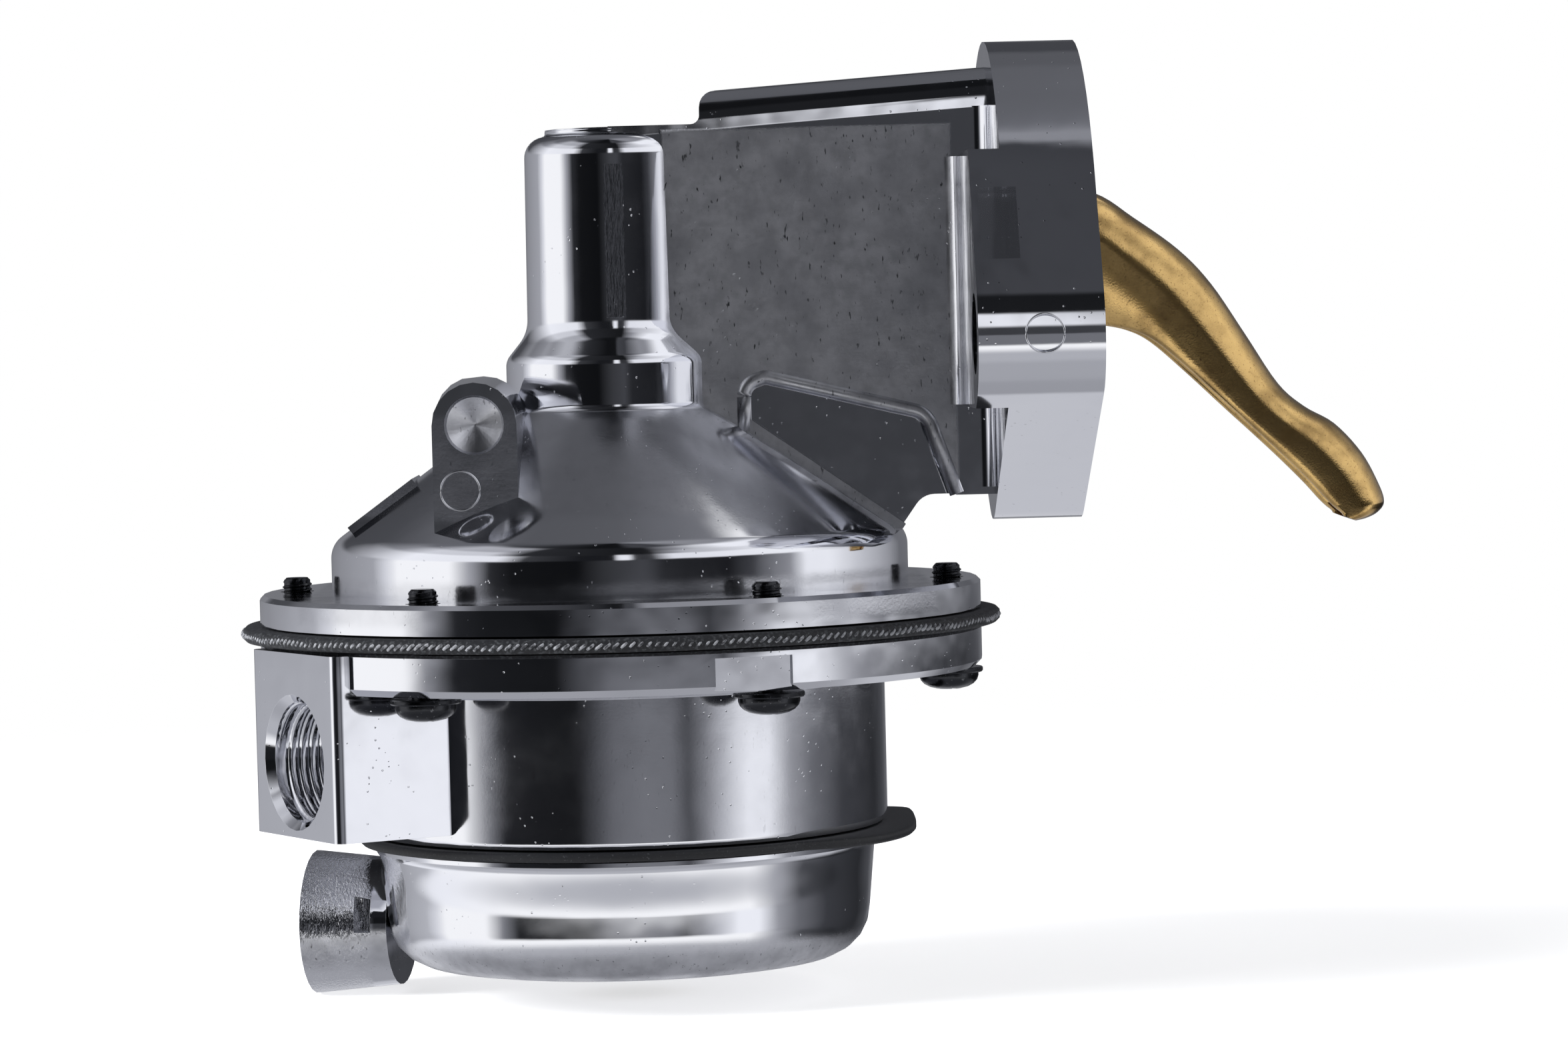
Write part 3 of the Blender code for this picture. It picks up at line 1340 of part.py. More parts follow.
def main():
    clear_scene()
    paint("polished_casting", make_upper_housing(), make_valve_body(), make_bottom_cover())
    arm = make_rocker_arm()
    turn_about(arm, (PIVOT_X, 0.0, PIVOT_Z))
    paint("gold_zinc_steel", arm)
    paint("fabric_rubber", make_diaphragm())
    paint("black_rubber", make_gasket(), make_seal())
    paint("ground_steel", make_pivot_pin(), make_pull_rod())
    paint("pressed_steel", make_upper_plate(), make_lower_plate(), make_seal_retainer(), make_rod_nut())
    paint("bush_nylon", make_rod_bush())
    paint("spring_steel", make_arm_spring(), make_diaphragm_spring())
    for label, side in (("inlet", 1.0), ("outlet", -1.0)):
        seat, stem, disc, spring = make_valve(label, side)
        place = valve_place(side)
        turn_about(disc, (place.x, place.y, DECK_TOP))
        paint("valve_brass", seat, stem)
        paint("valve_plastic", disc)
        paint("spring_steel", spring)
    paint("copper", make_bolt_washer())
    paint("black_oxide_steel", make_cover_bolt())
    for i, angle in enumerate(screw_angles()):
        paint("black_oxide_steel", make_flange_screw(i + 1, angle))


main()
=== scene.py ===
"""Looks of the mechanical fuel pump: its finishes, fine pieces and studio, laid out as an add-on."""

import json
import math

import bmesh
import bpy
from bpy.props import FloatProperty, FloatVectorProperty, IntProperty, PointerProperty
from mathutils import Matrix, Vector
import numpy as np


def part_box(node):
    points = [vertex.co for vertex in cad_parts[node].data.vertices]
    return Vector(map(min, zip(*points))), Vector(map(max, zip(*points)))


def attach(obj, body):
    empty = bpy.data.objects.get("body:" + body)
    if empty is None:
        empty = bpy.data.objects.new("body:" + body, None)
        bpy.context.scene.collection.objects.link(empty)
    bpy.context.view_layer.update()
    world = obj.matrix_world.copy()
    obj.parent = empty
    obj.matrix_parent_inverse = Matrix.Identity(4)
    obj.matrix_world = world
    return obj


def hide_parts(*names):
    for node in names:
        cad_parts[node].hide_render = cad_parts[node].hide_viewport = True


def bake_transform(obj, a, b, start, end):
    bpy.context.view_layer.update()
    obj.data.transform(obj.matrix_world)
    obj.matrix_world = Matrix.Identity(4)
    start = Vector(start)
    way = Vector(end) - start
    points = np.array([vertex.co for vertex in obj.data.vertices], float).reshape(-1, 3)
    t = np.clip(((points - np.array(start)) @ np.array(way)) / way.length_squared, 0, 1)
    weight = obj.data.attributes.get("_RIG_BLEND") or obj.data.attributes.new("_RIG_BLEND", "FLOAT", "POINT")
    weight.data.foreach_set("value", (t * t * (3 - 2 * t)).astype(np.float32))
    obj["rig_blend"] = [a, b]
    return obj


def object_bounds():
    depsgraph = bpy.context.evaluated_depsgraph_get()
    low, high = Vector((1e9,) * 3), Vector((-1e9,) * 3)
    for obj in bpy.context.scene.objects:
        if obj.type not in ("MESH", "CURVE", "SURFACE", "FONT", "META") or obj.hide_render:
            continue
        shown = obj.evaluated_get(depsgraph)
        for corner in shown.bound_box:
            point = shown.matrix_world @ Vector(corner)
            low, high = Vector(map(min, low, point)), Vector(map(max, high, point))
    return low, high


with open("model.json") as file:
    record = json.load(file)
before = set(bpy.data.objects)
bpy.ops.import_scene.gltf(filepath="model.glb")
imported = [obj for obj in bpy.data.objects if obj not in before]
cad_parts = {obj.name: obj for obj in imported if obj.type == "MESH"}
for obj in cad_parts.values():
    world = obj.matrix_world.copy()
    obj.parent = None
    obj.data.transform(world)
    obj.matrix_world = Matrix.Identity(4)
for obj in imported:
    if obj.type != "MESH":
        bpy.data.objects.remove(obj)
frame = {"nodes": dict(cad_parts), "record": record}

bl_info = {
    "name": "Mechanical fuel pump",
    "version": (1, 0, 0),
    "blender": (4, 5, 0),
    "location": "3D View > Sidebar > Fuel pump",
    "description": "Finishes, fine pieces and studio of a mechanical fuel pump",
    "category": "Object",
}

MM = 0.001
CAD_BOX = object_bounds()
WHITE = (1.0, 1.0, 1.0, 1.0)

# The castings, read from the frame
BODY_LOW, BODY_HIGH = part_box("valve_body")
DIAPHRAGM_LOW, DIAPHRAGM_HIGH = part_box("diaphragm")
DIAPHRAGM_R = DIAPHRAGM_HIGH.y
RIM_R = BODY_HIGH.y
HOUSING_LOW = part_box("upper_housing")[0]
ARM_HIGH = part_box("rocker_arm")[1]
PIN_LOW, PIN_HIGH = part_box("pivot_pin")
PIVOT = (PIN_LOW + PIN_HIGH) / 2.0
PLATE_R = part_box("upper_plate")[1].x
PORTS = {mount["name"]: mount for mount in frame["record"]["mounts"]}


def to_linear(hex_colour):
    """An sRGB colour written as #RRGGBB, as linear red, green, blue and alpha."""
    parts = [int(hex_colour[i : i + 2], 16) / 255.0 for i in (1, 3, 5)]
    return (*[c / 12.92 if c <= 0.04045 else ((c + 0.055) / 1.055) ** 2.4 for c in parts], 1.0)


def millimetres(name, description, default):
    """A length that a person can change, with its default in millimetres."""
    return FloatProperty(
        name=name, description=description, default=default * MM, min=0.0, unit="LENGTH", precision=5
    )


def colour(name, description, default):
    """A colour that a person can change, with its default written as #RRGGBB."""
    value = to_linear(default)
    return FloatVectorProperty(
        name=name, description=description, default=value, size=4, subtype="COLOR", min=0.0, max=1.0
    )


class PumpSizes(bpy.types.PropertyGroup):
    """Sizes of the fine pieces that the solids leave out."""

    cast_edge: millimetres("Cast edge", "Rounding of the castings' edges", 0.35)
    arm_sheet: millimetres("Arm sheet", "Thickness of the stamped arm's sheet", 1.7)
    arm_bend: millimetres("Arm bend", "Outside bend of the stamped arm", 5.2)
    port_pitch: millimetres("Port thread pitch", "Pitch of the taper pipe thread, 18 to the inch", 1.41)
    port_ridge: millimetres("Port thread height", "How far the port thread stands in", 0.75)
    screw_pitch: millimetres("Screw thread pitch", "Pitch of the flange screws' thread", 0.7)
    screw_ridge: millimetres("Screw thread depth", "Depth of the flange screws' thread", 0.22)
    yarn: millimetres("Yarn", "Thickness of the yarn at the diaphragm's cut edge", 0.62)
    yarn_twist: millimetres("Yarn twist", "Length of one twist of that yarn", 2.1)
    web_sectors: IntProperty(
        name="Web sectors", description="Parts of the diaphragm's bending web", default=12
    )


class PumpFinishes(bpy.types.PropertyGroup):
    """Colours of the finishes."""

    plating: colour("Bright plating", "The polished castings", "#E6E7EC")
    plating_dull: colour("Dull plating", "Plating over unpolished casting skin", "#A9AAAF")
    scar: colour("Scars", "Dark pits and scratches in the casting skin", "#4A4B4E")
    gold: colour("Yellow passivation", "The zinc plated rocker arm", "#DDB875")
    gold_deep: colour("Deep passivation", "Where the yellow film is thicker", "#6F5024")
    rubber: colour("Black rubber", "The gasket and the rod's seal", "#1E1F22")
    cloth: colour("Diaphragm cloth", "Rubbered cloth at the diaphragm's edge", "#45474A")
    black_oxide: colour("Black oxide", "The screws", "#3A3B3E")
    steel: colour("Steel", "Ground and pressed steel", "#B4B5B8")
    brass: colour("Brass", "Valve seats and stems", "#C8A255")


class PumpStudio(bpy.types.PropertyGroup):
    """Camera and light."""

    lens: FloatProperty(name="Lens", description="Focal length on a 36 mm sensor", default=115.7)
    key_power: FloatProperty(
        name="Key light", description="Power of the key light", default=9.0, unit="POWER"
    )
    floor_radius: FloatProperty(name="Floor", description="Radius of the floor", default=2.4, unit="LENGTH")


# Small tools


def new_object(name, mesh):
    """A new object in the scene."""
    obj = bpy.data.objects.new(name, mesh)
    bpy.context.scene.collection.objects.link(obj)
    return obj


def mesh_from(name, points, faces):
    """A new smooth object from points and faces."""
    mesh = bpy.data.meshes.new(name)
    mesh.from_pydata([tuple(p) for p in points], [], faces)
    mesh.validate()
    mesh.update()
    mesh.shade_smooth()
    return new_object(name, mesh)


def dress(piece, material, body=None, nodes=()):
    """Gives a piece its finish and its body, and hides the solids that it stands for."""
    piece.data.materials.clear()
    piece.data.materials.append(material)
    if body:
        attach(piece, body)
    if nodes:
        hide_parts(*nodes)
    return piece


def fine_copy(node, name):
    """The node's solid as a new piece, its points welded and its flat faces whole, for smooth shading."""
    work = bmesh.new()
    work.from_mesh(frame["nodes"][node].data)
    bmesh.ops.remove_doubles(work, verts=work.verts, dist=0.002 * MM)
    bmesh.ops.dissolve_limit(work, angle_limit=math.radians(0.4), verts=work.verts, edges=work.edges)
    mesh = bpy.data.meshes.new(name)
    work.to_mesh(mesh)
    work.free()
    for layer in [a for a in mesh.attributes if a.name in ("custom_normal", "sharp_face", "sharp_edge")]:
        mesh.attributes.remove(layer)
    mesh.shade_smooth()
    return new_object(name, mesh)


def round_edges(piece, width, segments=2, angle=32.0):
    """Rounds every edge sharper than the angle, and lets the large faces lead the shading."""
    bevel = piece.modifiers.new("rounded edges", "BEVEL")
    bevel.width = width
    bevel.segments = segments
    bevel.limit_method = "ANGLE"
    bevel.angle_limit = math.radians(angle)
    shading = piece.modifiers.new("large faces lead", "WEIGHTED_NORMAL")
    shading.mode = "FACE_AREA"
    return piece


def apply_modifiers(piece):
    """Turns the piece's modifiers into plain mesh."""
    graph = bpy.context.evaluated_depsgraph_get()
    mesh = bpy.data.meshes.new_from_object(piece.evaluated_get(graph))
    piece.modifiers.clear()
    piece.data = mesh
    return piece


def swept(name, sections, closed=False):
    """A skin over a row of sections with equal numbers of points, capped unless it closes on itself."""
    count = len(sections[0])
    points = [p for section in sections for p in section]
    rows = len(sections)
    faces = []
    for i in range(rows if closed else rows - 1):
        low = i * count
        high = ((i + 1) % rows) * count
        for j in range(count):
            k = (j + 1) % count
            faces.append((low + j, low + k, high + k, high + j))
    if not closed:
        faces.append(tuple(reversed(range(count))))
        faces.append(tuple(range((rows - 1) * count, rows * count)))
    return mesh_from(name, points, faces)


def soften(corners, steps=8):
    """The corners, each with its rounding radius, as one line of points."""
    line = []
    for i, (x, z, radius) in enumerate(corners):
        here = Vector((x, z))
        if radius == 0.0:
            line.append(here)
            continue
        before = (Vector(corners[i - 1][:2]) - here).normalized()
        after = (Vector(corners[i + 1][:2]) - here).normalized()
        half = before.angle(after) / 2.0
        centre = here + (before + after).normalized() * (radius / math.sin(half))
        start = here + before * (radius / math.tan(half)) - centre
        end = here + after * (radius / math.tan(half)) - centre
        line += [centre + start.lerp(end, j / steps).normalized() * radius for j in range(steps + 1)]
    return line


def tube(name, path, radius, closed=False, sides=10):
    """A round tube along the path."""
    sections = []
    for i, place in enumerate(path):
        after = path[(i + 1) % len(path)] if closed or i + 1 < len(path) else place
        before = path[i - 1] if closed or i else place
        along, side, up = frame_along(after - before)
        turns = [math.tau * j / sides for j in range(sides)]
        sections.append([place + (side * math.cos(a) + up * math.sin(a)) * radius for a in turns])
    return swept(name, sections, closed=closed)


def frame_along(direction):
    """This direction and two square to it, all one long."""
    along = Vector(direction).normalized()
    side = Vector((0.0, 0.0, 1.0)).cross(along)
    if side.length < 0.1:
        side = Vector((1.0, 0.0, 0.0)).cross(along)
    side.normalize()
    return along, side, along.cross(side)


def thread(name, start, toward, radius, end_radius, length, pitch, height, per_turn=48):
    """A helical ridge on a bore or a shank. A positive height stands inwards, and a negative one outwards."""
    along, side, up = frame_along(Vector(toward) - Vector(start))
    turns = length / pitch
    steps = int(turns * per_turn)
    # The root lies a little inside the metal, so that no gap shows
    root = math.copysign(0.12 * MM, height)
    sections = []
    for i in range(steps + 1):
        angle = math.tau * i / per_turn
        out = side * math.cos(angle) + up * math.sin(angle)
        depth = pitch * i / per_turn
        wall = radius + (end_radius - radius) * depth / length
        fade = min(1.0, i / 20.0, (steps - i) / 20.0)
        crest = height * max(fade, 0.02)
        profile = [(wall + root, -0.46), (wall - crest, -0.06), (wall - crest, 0.06), (wall + root, 0.46)]
        sections.append([Vector(start) + along * (depth + z * pitch) + out * r for r, z in profile])
    return swept(name, sections)


def turned(name, profile, start, toward, steps=48):
    """A solid turned about the line from start: the profile gives radius and distance along it."""
    along, side, up = frame_along(Vector(toward) - Vector(start))
    sections = []
    for i in range(steps):
        out = side * math.cos(math.tau * i / steps) + up * math.sin(math.tau * i / steps)
        sections.append([Vector(start) + along * z + out * r for r, z in profile])
    piece = swept(name, sections, closed=True)
    work = bmesh.new()
    work.from_mesh(piece.data)
    bmesh.ops.remove_doubles(work, verts=work.verts, dist=0.001 * MM)
    bmesh.ops.recalc_face_normals(work, faces=work.faces)
    work.to_mesh(piece.data)
    work.free()
    return piece


# Finishes

SMOOTH = {"interpolation_type": "SMOOTHSTEP"}


def add_node(tree, kind, inputs=None, **settings):
    """Adds a node and gives its outputs. An input takes a value, or the output that is linked to it."""
    node = tree.nodes.new(f"ShaderNode{kind}")
    for name, value in settings.items():
        setattr(node, name, value)
    for name, value in (inputs or {}).items():
        if isinstance(value, bpy.types.NodeSocket):
            tree.links.new(value, node.inputs[name])
        else:
            node.inputs[name].default_value = value
    return node.outputs


def start_finish(name, base, metallic, roughness):
    """A new material, its node tree, its shader's inputs, and what its noises share, in metres."""
    material = bpy.data.materials.new(name)
    material.use_nodes = True
    material.diffuse_color = tuple(base)
    tree = material.node_tree
    shader = tree.nodes["Principled BSDF"].inputs
    shader["Base Color"].default_value = tuple(base)
    shader["Metallic"].default_value = metallic
    shader["Roughness"].default_value = roughness
    noise = {"Vector": add_node(tree, "TexCoord")["Object"], "Roughness": 0.55}
    return material, tree, shader, noise


def end_finish(tree, shader, varied, heights):
    """Links what varies over the surface, and stacks heights from 0 to 1 with their depths in millimetres."""
    for name, source in varied.items():
        tree.links.new(source, shader[name])
    below = {}
    for height, depth in heights:
        bump = {"Height": height, "Strength": 1.0, "Distance": depth * MM}
        below = {"Normal": add_node(tree, "Bump", {**bump, **below})[0]}
    tree.links.new(below["Normal"], shader["Normal"])


def zone(tree, place, low, high, soft):
    """One inside a box given in millimetres and nothing outside it, with soft borders."""
    centre = [(a + b) / 2.0 * MM for a, b in zip(low, high)]
    half = [(b - a) / 2.0 * MM for a, b in zip(low, high)]
    away = add_node(tree, "VectorMath", {0: place, 1: centre}, operation="SUBTRACT")[0]
    away = add_node(tree, "VectorMath", {0: away}, operation="ABSOLUTE")[0]
    away = add_node(tree, "VectorMath", {0: away, 1: half}, operation="SUBTRACT")[0]
    x, y, z = add_node(tree, "SeparateXYZ", {0: away})
    farthest = add_node(tree, "Math", {0: x, 1: y}, operation="MAXIMUM")[0]
    farthest = add_node(tree, "Math", {0: farthest, 1: z}, operation="MAXIMUM")[0]
    return add_node(tree, "MapRange", {0: farthest, 1: 0.0, 2: -soft * MM}, **SMOOTH)[0]


def polished_die_casting(name, dull=(), rough=(), swell=None):
    """Buffed die casting under bright plating: mirror bands that waver a little, over fine pits.

    The dull zones kept their casting skin under the plating, so they show grey grain and no clear mirror.
    The rough zones are filed or blasted, and break the light into sparks. Over the heights of the swell the
    buffed wall stands out a little further upwards, which bends its mirror bands.
    """
    finishes = bpy.context.scene.pump_finishes
    material, tree, shader, noise = start_finish(name, finishes.plating, 1.0, 0.07)
    place = noise["Vector"]
    # Lumps of 6 mm bend the mirror bands as hand buffing does
    waver = add_node(tree, "TexNoise", {**noise, "Scale": 1.0 / (6.0 * MM), "Detail": 1.0})[0]
    # Pits of 0.2 mm, in clusters
    spots = add_node(tree, "TexVoronoi", {"Vector": place, "Scale": 1.0 / (1.1 * MM)})[0]
    spots = add_node(tree, "MapRange", {0: spots, 1: 0.14, 2: 0.05}, **SMOOTH)[0]
    cluster = add_node(tree, "TexNoise", {**noise, "Scale": 1.0 / (7.0 * MM), "Detail": 2.0})[0]
    cluster = add_node(tree, "MapRange", {0: cluster, 1: 0.5, 2: 0.66}, **SMOOTH)[0]
    pits = add_node(tree, "Math", {0: spots, 1: cluster}, operation="MULTIPLY")[0]
    heights = [(waver, 0.035), (pits, -0.03)]
    # The gloss varies in clouds of 5 mm
    cloud = add_node(tree, "TexNoise", {**noise, "Scale": 1.0 / (5.0 * MM), "Detail": 4.0})[0]
    cloud = add_node(tree, "MapRange", {0: cloud, 1: 0.35, 2: 0.7, 3: 0.05, 4: 0.09}, **SMOOTH)[0]
    colour_out = tuple(finishes.plating)
    # The buffing wheel touched the skin in patches of some 9 mm
    patches = add_node(tree, "TexNoise", {**noise, "Scale": 1.0 / (9.0 * MM), "Detail": 5.0})[0]
    patches = add_node(tree, "MapRange", {0: patches, 1: 0.38, 2: 0.62, 3: 0.62, 4: 1.0}, **SMOOTH)[0]
    for low, high, soft, share in dull:
        skin = zone(tree, place, low, high, soft)
        skin = add_node(tree, "Math", {0: skin, 1: share}, operation="MULTIPLY")[0]
        skin = add_node(tree, "Math", {0: skin, 1: patches}, operation="MULTIPLY")[0]
        # Casting grain of 0.4 mm, then wipe marks of 0.5 mm that run six times as far across as upwards
        grains = add_node(tree, "TexNoise", {**noise, "Scale": 1.0 / (0.4 * MM), "Detail": 4.0})[0]
        along = add_node(tree, "VectorMath", {0: place, 1: (6.0, 6.0, 1.0)}, operation="DIVIDE")[0]
        wipes = {**noise, "Vector": along, "Scale": 1.0 / (0.5 * MM), "Detail": 3.0}
        wipes = add_node(tree, "TexNoise", wipes)[0]
        for marks, depth in ((grains, 0.02), (wipes, 0.01)):
            heights.append((add_node(tree, "Math", {0: marks, 1: skin}, operation="MULTIPLY")[0], depth))
        matt = add_node(tree, "Math", {0: skin, 1: 0.4}, operation="MULTIPLY")[0]
        cloud = add_node(tree, "Math", {0: cloud, 1: matt}, operation="ADD")[0]
        # The dull tone is mottled over 2 mm
        tone = add_node(tree, "TexNoise", {**noise, "Scale": 1.0 / (2.0 * MM), "Detail": 6.0})[0]
        tone = add_node(tree, "MapRange", {0: tone, 1: 0.35, 2: 0.7, 3: 0.7, 4: 1.0}, **SMOOTH)[0]
        tone = add_node(tree, "Math", {0: skin, 1: tone}, operation="MULTIPLY")[0]
        mix = {0: tone, 6: colour_out, 7: tuple(finishes.plating_dull)}
        colour_out = add_node(tree, "Mix", mix, data_type="RGBA")[2]
        # Dark scars 0.5 mm wide and three times as long
        along = add_node(tree, "VectorMath", {0: place, 1: (1.0, 1.0, 3.0)}, operation="DIVIDE")[0]
        scars = {**noise, "Vector": along, "Scale": 1.0 / (0.5 * MM), "Detail": 2.0}
        scars = add_node(tree, "TexNoise", scars)[0]
        scars = add_node(tree, "MapRange", {0: scars, 1: 0.66, 2: 0.74}, **SMOOTH)[0]
        scars = add_node(tree, "Math", {0: scars, 1: skin}, operation="MULTIPLY")[0]
        mix = {0: scars, 6: colour_out, 7: tuple(finishes.scar)}
        colour_out = add_node(tree, "Mix", mix, data_type="RGBA")[2]
    if swell:
        low, high, depth = swell
        up = add_node(tree, "SeparateXYZ", {0: place})["Z"]
        lean = add_node(tree, "MapRange", {0: up, 1: low * MM, 2: high * MM}, **SMOOTH)[0]
        heights.append((lean, depth))
    for low, high, soft, stretch, depth in rough:
        along = add_node(tree, "VectorMath", {0: place, 1: stretch}, operation="DIVIDE")[0]
        marks = {**noise, "Vector": along, "Scale": 1.0 / (0.35 * MM), "Detail": 3.0}
        marks = add_node(tree, "TexNoise", marks)[0]
        inside = zone(tree, place, low, high, soft)
        heights.append((add_node(tree, "Math", {0: marks, 1: inside}, operation="MULTIPLY")[0], depth))
    varied = {"Roughness": cloud, "Base Color": colour_out} if dull else {"Roughness": cloud}
    end_finish(tree, shader, varied, heights)
    return material


def yellow_zinc():
    """Pressed steel under yellow passivated zinc: warm gold with a fine sandy grain and a few dark points."""
    finishes = bpy.context.scene.pump_finishes
    material, tree, shader, noise = start_finish("yellow_passivated_zinc", finishes.gold, 1.0, 0.24)
    shader["Coat Weight"].default_value = 0.4
    shader["Coat Roughness"].default_value = 0.12
    # The film varies over some 4 mm, and dark points of 0.3 mm lie scattered in it
    film = add_node(tree, "TexNoise", {**noise, "Scale": 1.0 / (4.0 * MM), "Detail": 5.0})[0]
    film = add_node(tree, "MapRange", {0: film, 1: 0.35, 2: 0.75, 3: 0.0, 4: 0.55}, **SMOOTH)[0]
    points = add_node(tree, "TexNoise", {**noise, "Scale": 1.0 / (0.3 * MM), "Detail": 3.0})[0]
    points = add_node(tree, "MapRange", {0: points, 1: 0.58, 2: 0.7}, **SMOOTH)[0]
    points = add_node(tree, "Math", {0: points, 1: 0.5}, operation="MULTIPLY")[0]
    mix = {0: film, 6: tuple(finishes.gold), 7: tuple(finishes.gold_deep)}
    tint = add_node(tree, "Mix", mix, data_type="RGBA")[2]
    tint = add_node(tree, "Mix", {0: points, 6: tint, 7: to_linear("#6B4A1E")}, data_type="RGBA")[2]
    gloss = add_node(tree, "MapRange", {0: film, 1: 0.0, 2: 0.6, 3: 0.15, 4: 0.22}, **SMOOTH)[0]
    # The drawn sheet waves over 5 mm under a sandy grain of 0.25 mm
    waves = add_node(tree, "TexNoise", {**noise, "Scale": 1.0 / (5.0 * MM), "Detail": 2.0})[0]
    sand = add_node(tree, "TexNoise", {**noise, "Scale": 1.0 / (0.25 * MM), "Detail": 3.0})[0]
    end_finish(tree, shader, {"Base Color": tint, "Roughness": gloss}, [(waves, 0.035), (sand, 0.014)])
    return material


def moulded_rubber(name, base, specks):
    """Moulded black rubber: soft sheen, dusty specks and a slightly uneven skin."""
    material, tree, shader, noise = start_finish(name, base, 0.0, 0.55)
    dust = add_node(tree, "TexNoise", {**noise, "Scale": 1.0 / (0.3 * MM), "Detail": 4.0})[0]
    dust = add_node(tree, "MapRange", {0: dust, 1: 0.6, 2: 0.74}, **SMOOTH)[0]
    tint = add_node(tree, "Mix", {0: dust, 6: tuple(base), 7: to_linear(specks)}, data_type="RGBA")[2]
    skin = add_node(tree, "TexNoise", {**noise, "Scale": 1.0 / (0.4 * MM), "Detail": 3.0})[0]
    end_finish(tree, shader, {"Base Color": tint}, [(skin, 0.04)])
    return material


def rubbered_cloth():
    """Woven cloth skinned with rubber: cut yarn ends show pale in a dark matt edge."""
    cloth = tuple(bpy.context.scene.pump_finishes.cloth)
    material, tree, shader, noise = start_finish("rubbered_cloth", cloth, 0.0, 0.7)
    weave = add_node(tree, "TexNoise", {**noise, "Scale": 1.0 / (0.45 * MM), "Detail": 2.0})[0]
    pale = add_node(tree, "MapRange", {0: weave, 1: 0.48, 2: 0.7}, **SMOOTH)[0]
    tint = add_node(tree, "Mix", {0: pale, 6: to_linear("#222326"), 7: cloth}, data_type="RGBA")[2]
    end_finish(tree, shader, {"Base Color": tint}, [(weave, 0.06)])
    return material


def cut_yarn():
    """Polyester yarn laid bare where the cloth was cut: pale grey strands, rubbed with rubber dust."""
    material, tree, shader, noise = start_finish("cut_yarn", to_linear("#8F9196"), 0.0, 0.42)
    dust = add_node(tree, "TexNoise", {**noise, "Scale": 1.0 / (0.8 * MM), "Detail": 3.0})[0]
    dust = add_node(tree, "MapRange", {0: dust, 1: 0.4, 2: 0.65}, **SMOOTH)[0]
    mix = {0: dust, 6: to_linear("#9FA1A6"), 7: to_linear("#3A3B3F")}
    tint = add_node(tree, "Mix", mix, data_type="RGBA")[2]
    fibres = add_node(tree, "TexNoise", {**noise, "Scale": 1.0 / (0.2 * MM), "Detail": 2.0})[0]
    end_finish(tree, shader, {"Base Color": tint}, [(fibres, 0.03)])
    return material


def black_oxide():
    """Steel with black oxide and oil: near black, glossy, with small worn points."""
    black = tuple(bpy.context.scene.pump_finishes.black_oxide)
    material, tree, shader, noise = start_finish("black_oxide_steel", black, 1.0, 0.24)
    worn = add_node(tree, "TexNoise", {**noise, "Scale": 1.0 / (0.5 * MM), "Detail": 4.0})[0]
    worn = add_node(tree, "MapRange", {0: worn, 1: 0.62, 2: 0.75}, **SMOOTH)[0]
    tint = add_node(tree, "Mix", {0: worn, 6: black, 7: to_linear("#7C7D80")}, data_type="RGBA")[2]
    gloss = add_node(tree, "MapRange", {0: worn, 3: 0.22, 4: 0.4}, **SMOOTH)[0]
    skin = add_node(tree, "TexNoise", {**noise, "Scale": 1.0 / (0.4 * MM), "Detail": 3.0})[0]
    end_finish(tree, shader, {"Base Color": tint, "Roughness": gloss}, [(skin, 0.015)])
    return material


def plain_metal(name, base, roughness, grain_size, stretch=(1.0, 1.0, 1.0)):
    """Turned, ground or drawn metal: a satin sheen with fine marks along the way it was worked."""
    material, tree, shader, noise = start_finish(name, base, 1.0, roughness)
    along = add_node(tree, "VectorMath", {0: noise["Vector"], 1: stretch}, operation="DIVIDE")[0]
    marks = {**noise, "Vector": along, "Scale": 1.0 / (grain_size * MM), "Detail": 3.0}
    marks = add_node(tree, "TexNoise", marks)[0]
    gloss = {0: marks, 1: 0.3, 2: 0.7, 3: roughness - 0.06, 4: roughness + 0.08}
    gloss = add_node(tree, "MapRange", gloss, **SMOOTH)[0]
    end_finish(tree, shader, {"Roughness": gloss}, [(marks, 0.008)])
    return material


def moulded_plastic(name, base, roughness):
    """Moulded plastic: an even colour with a faint cloud and a soft gloss."""
    material, tree, shader, noise = start_finish(name, to_linear(base), 0.0, roughness)
    cloud = add_node(tree, "TexNoise", {**noise, "Scale": 1.0 / (2.0 * MM), "Detail": 3.0})[0]
    gloss = {0: cloud, 1: 0.3, 2: 0.7, 3: roughness - 0.05, 4: roughness + 0.08}
    gloss = add_node(tree, "MapRange", gloss, **SMOOTH)[0]
    skin = add_node(tree, "TexNoise", {**noise, "Scale": 1.0 / (0.5 * MM), "Detail": 2.0})[0]
    end_finish(tree, shader, {"Roughness": gloss}, [(skin, 0.01)])
    return material


# Pieces


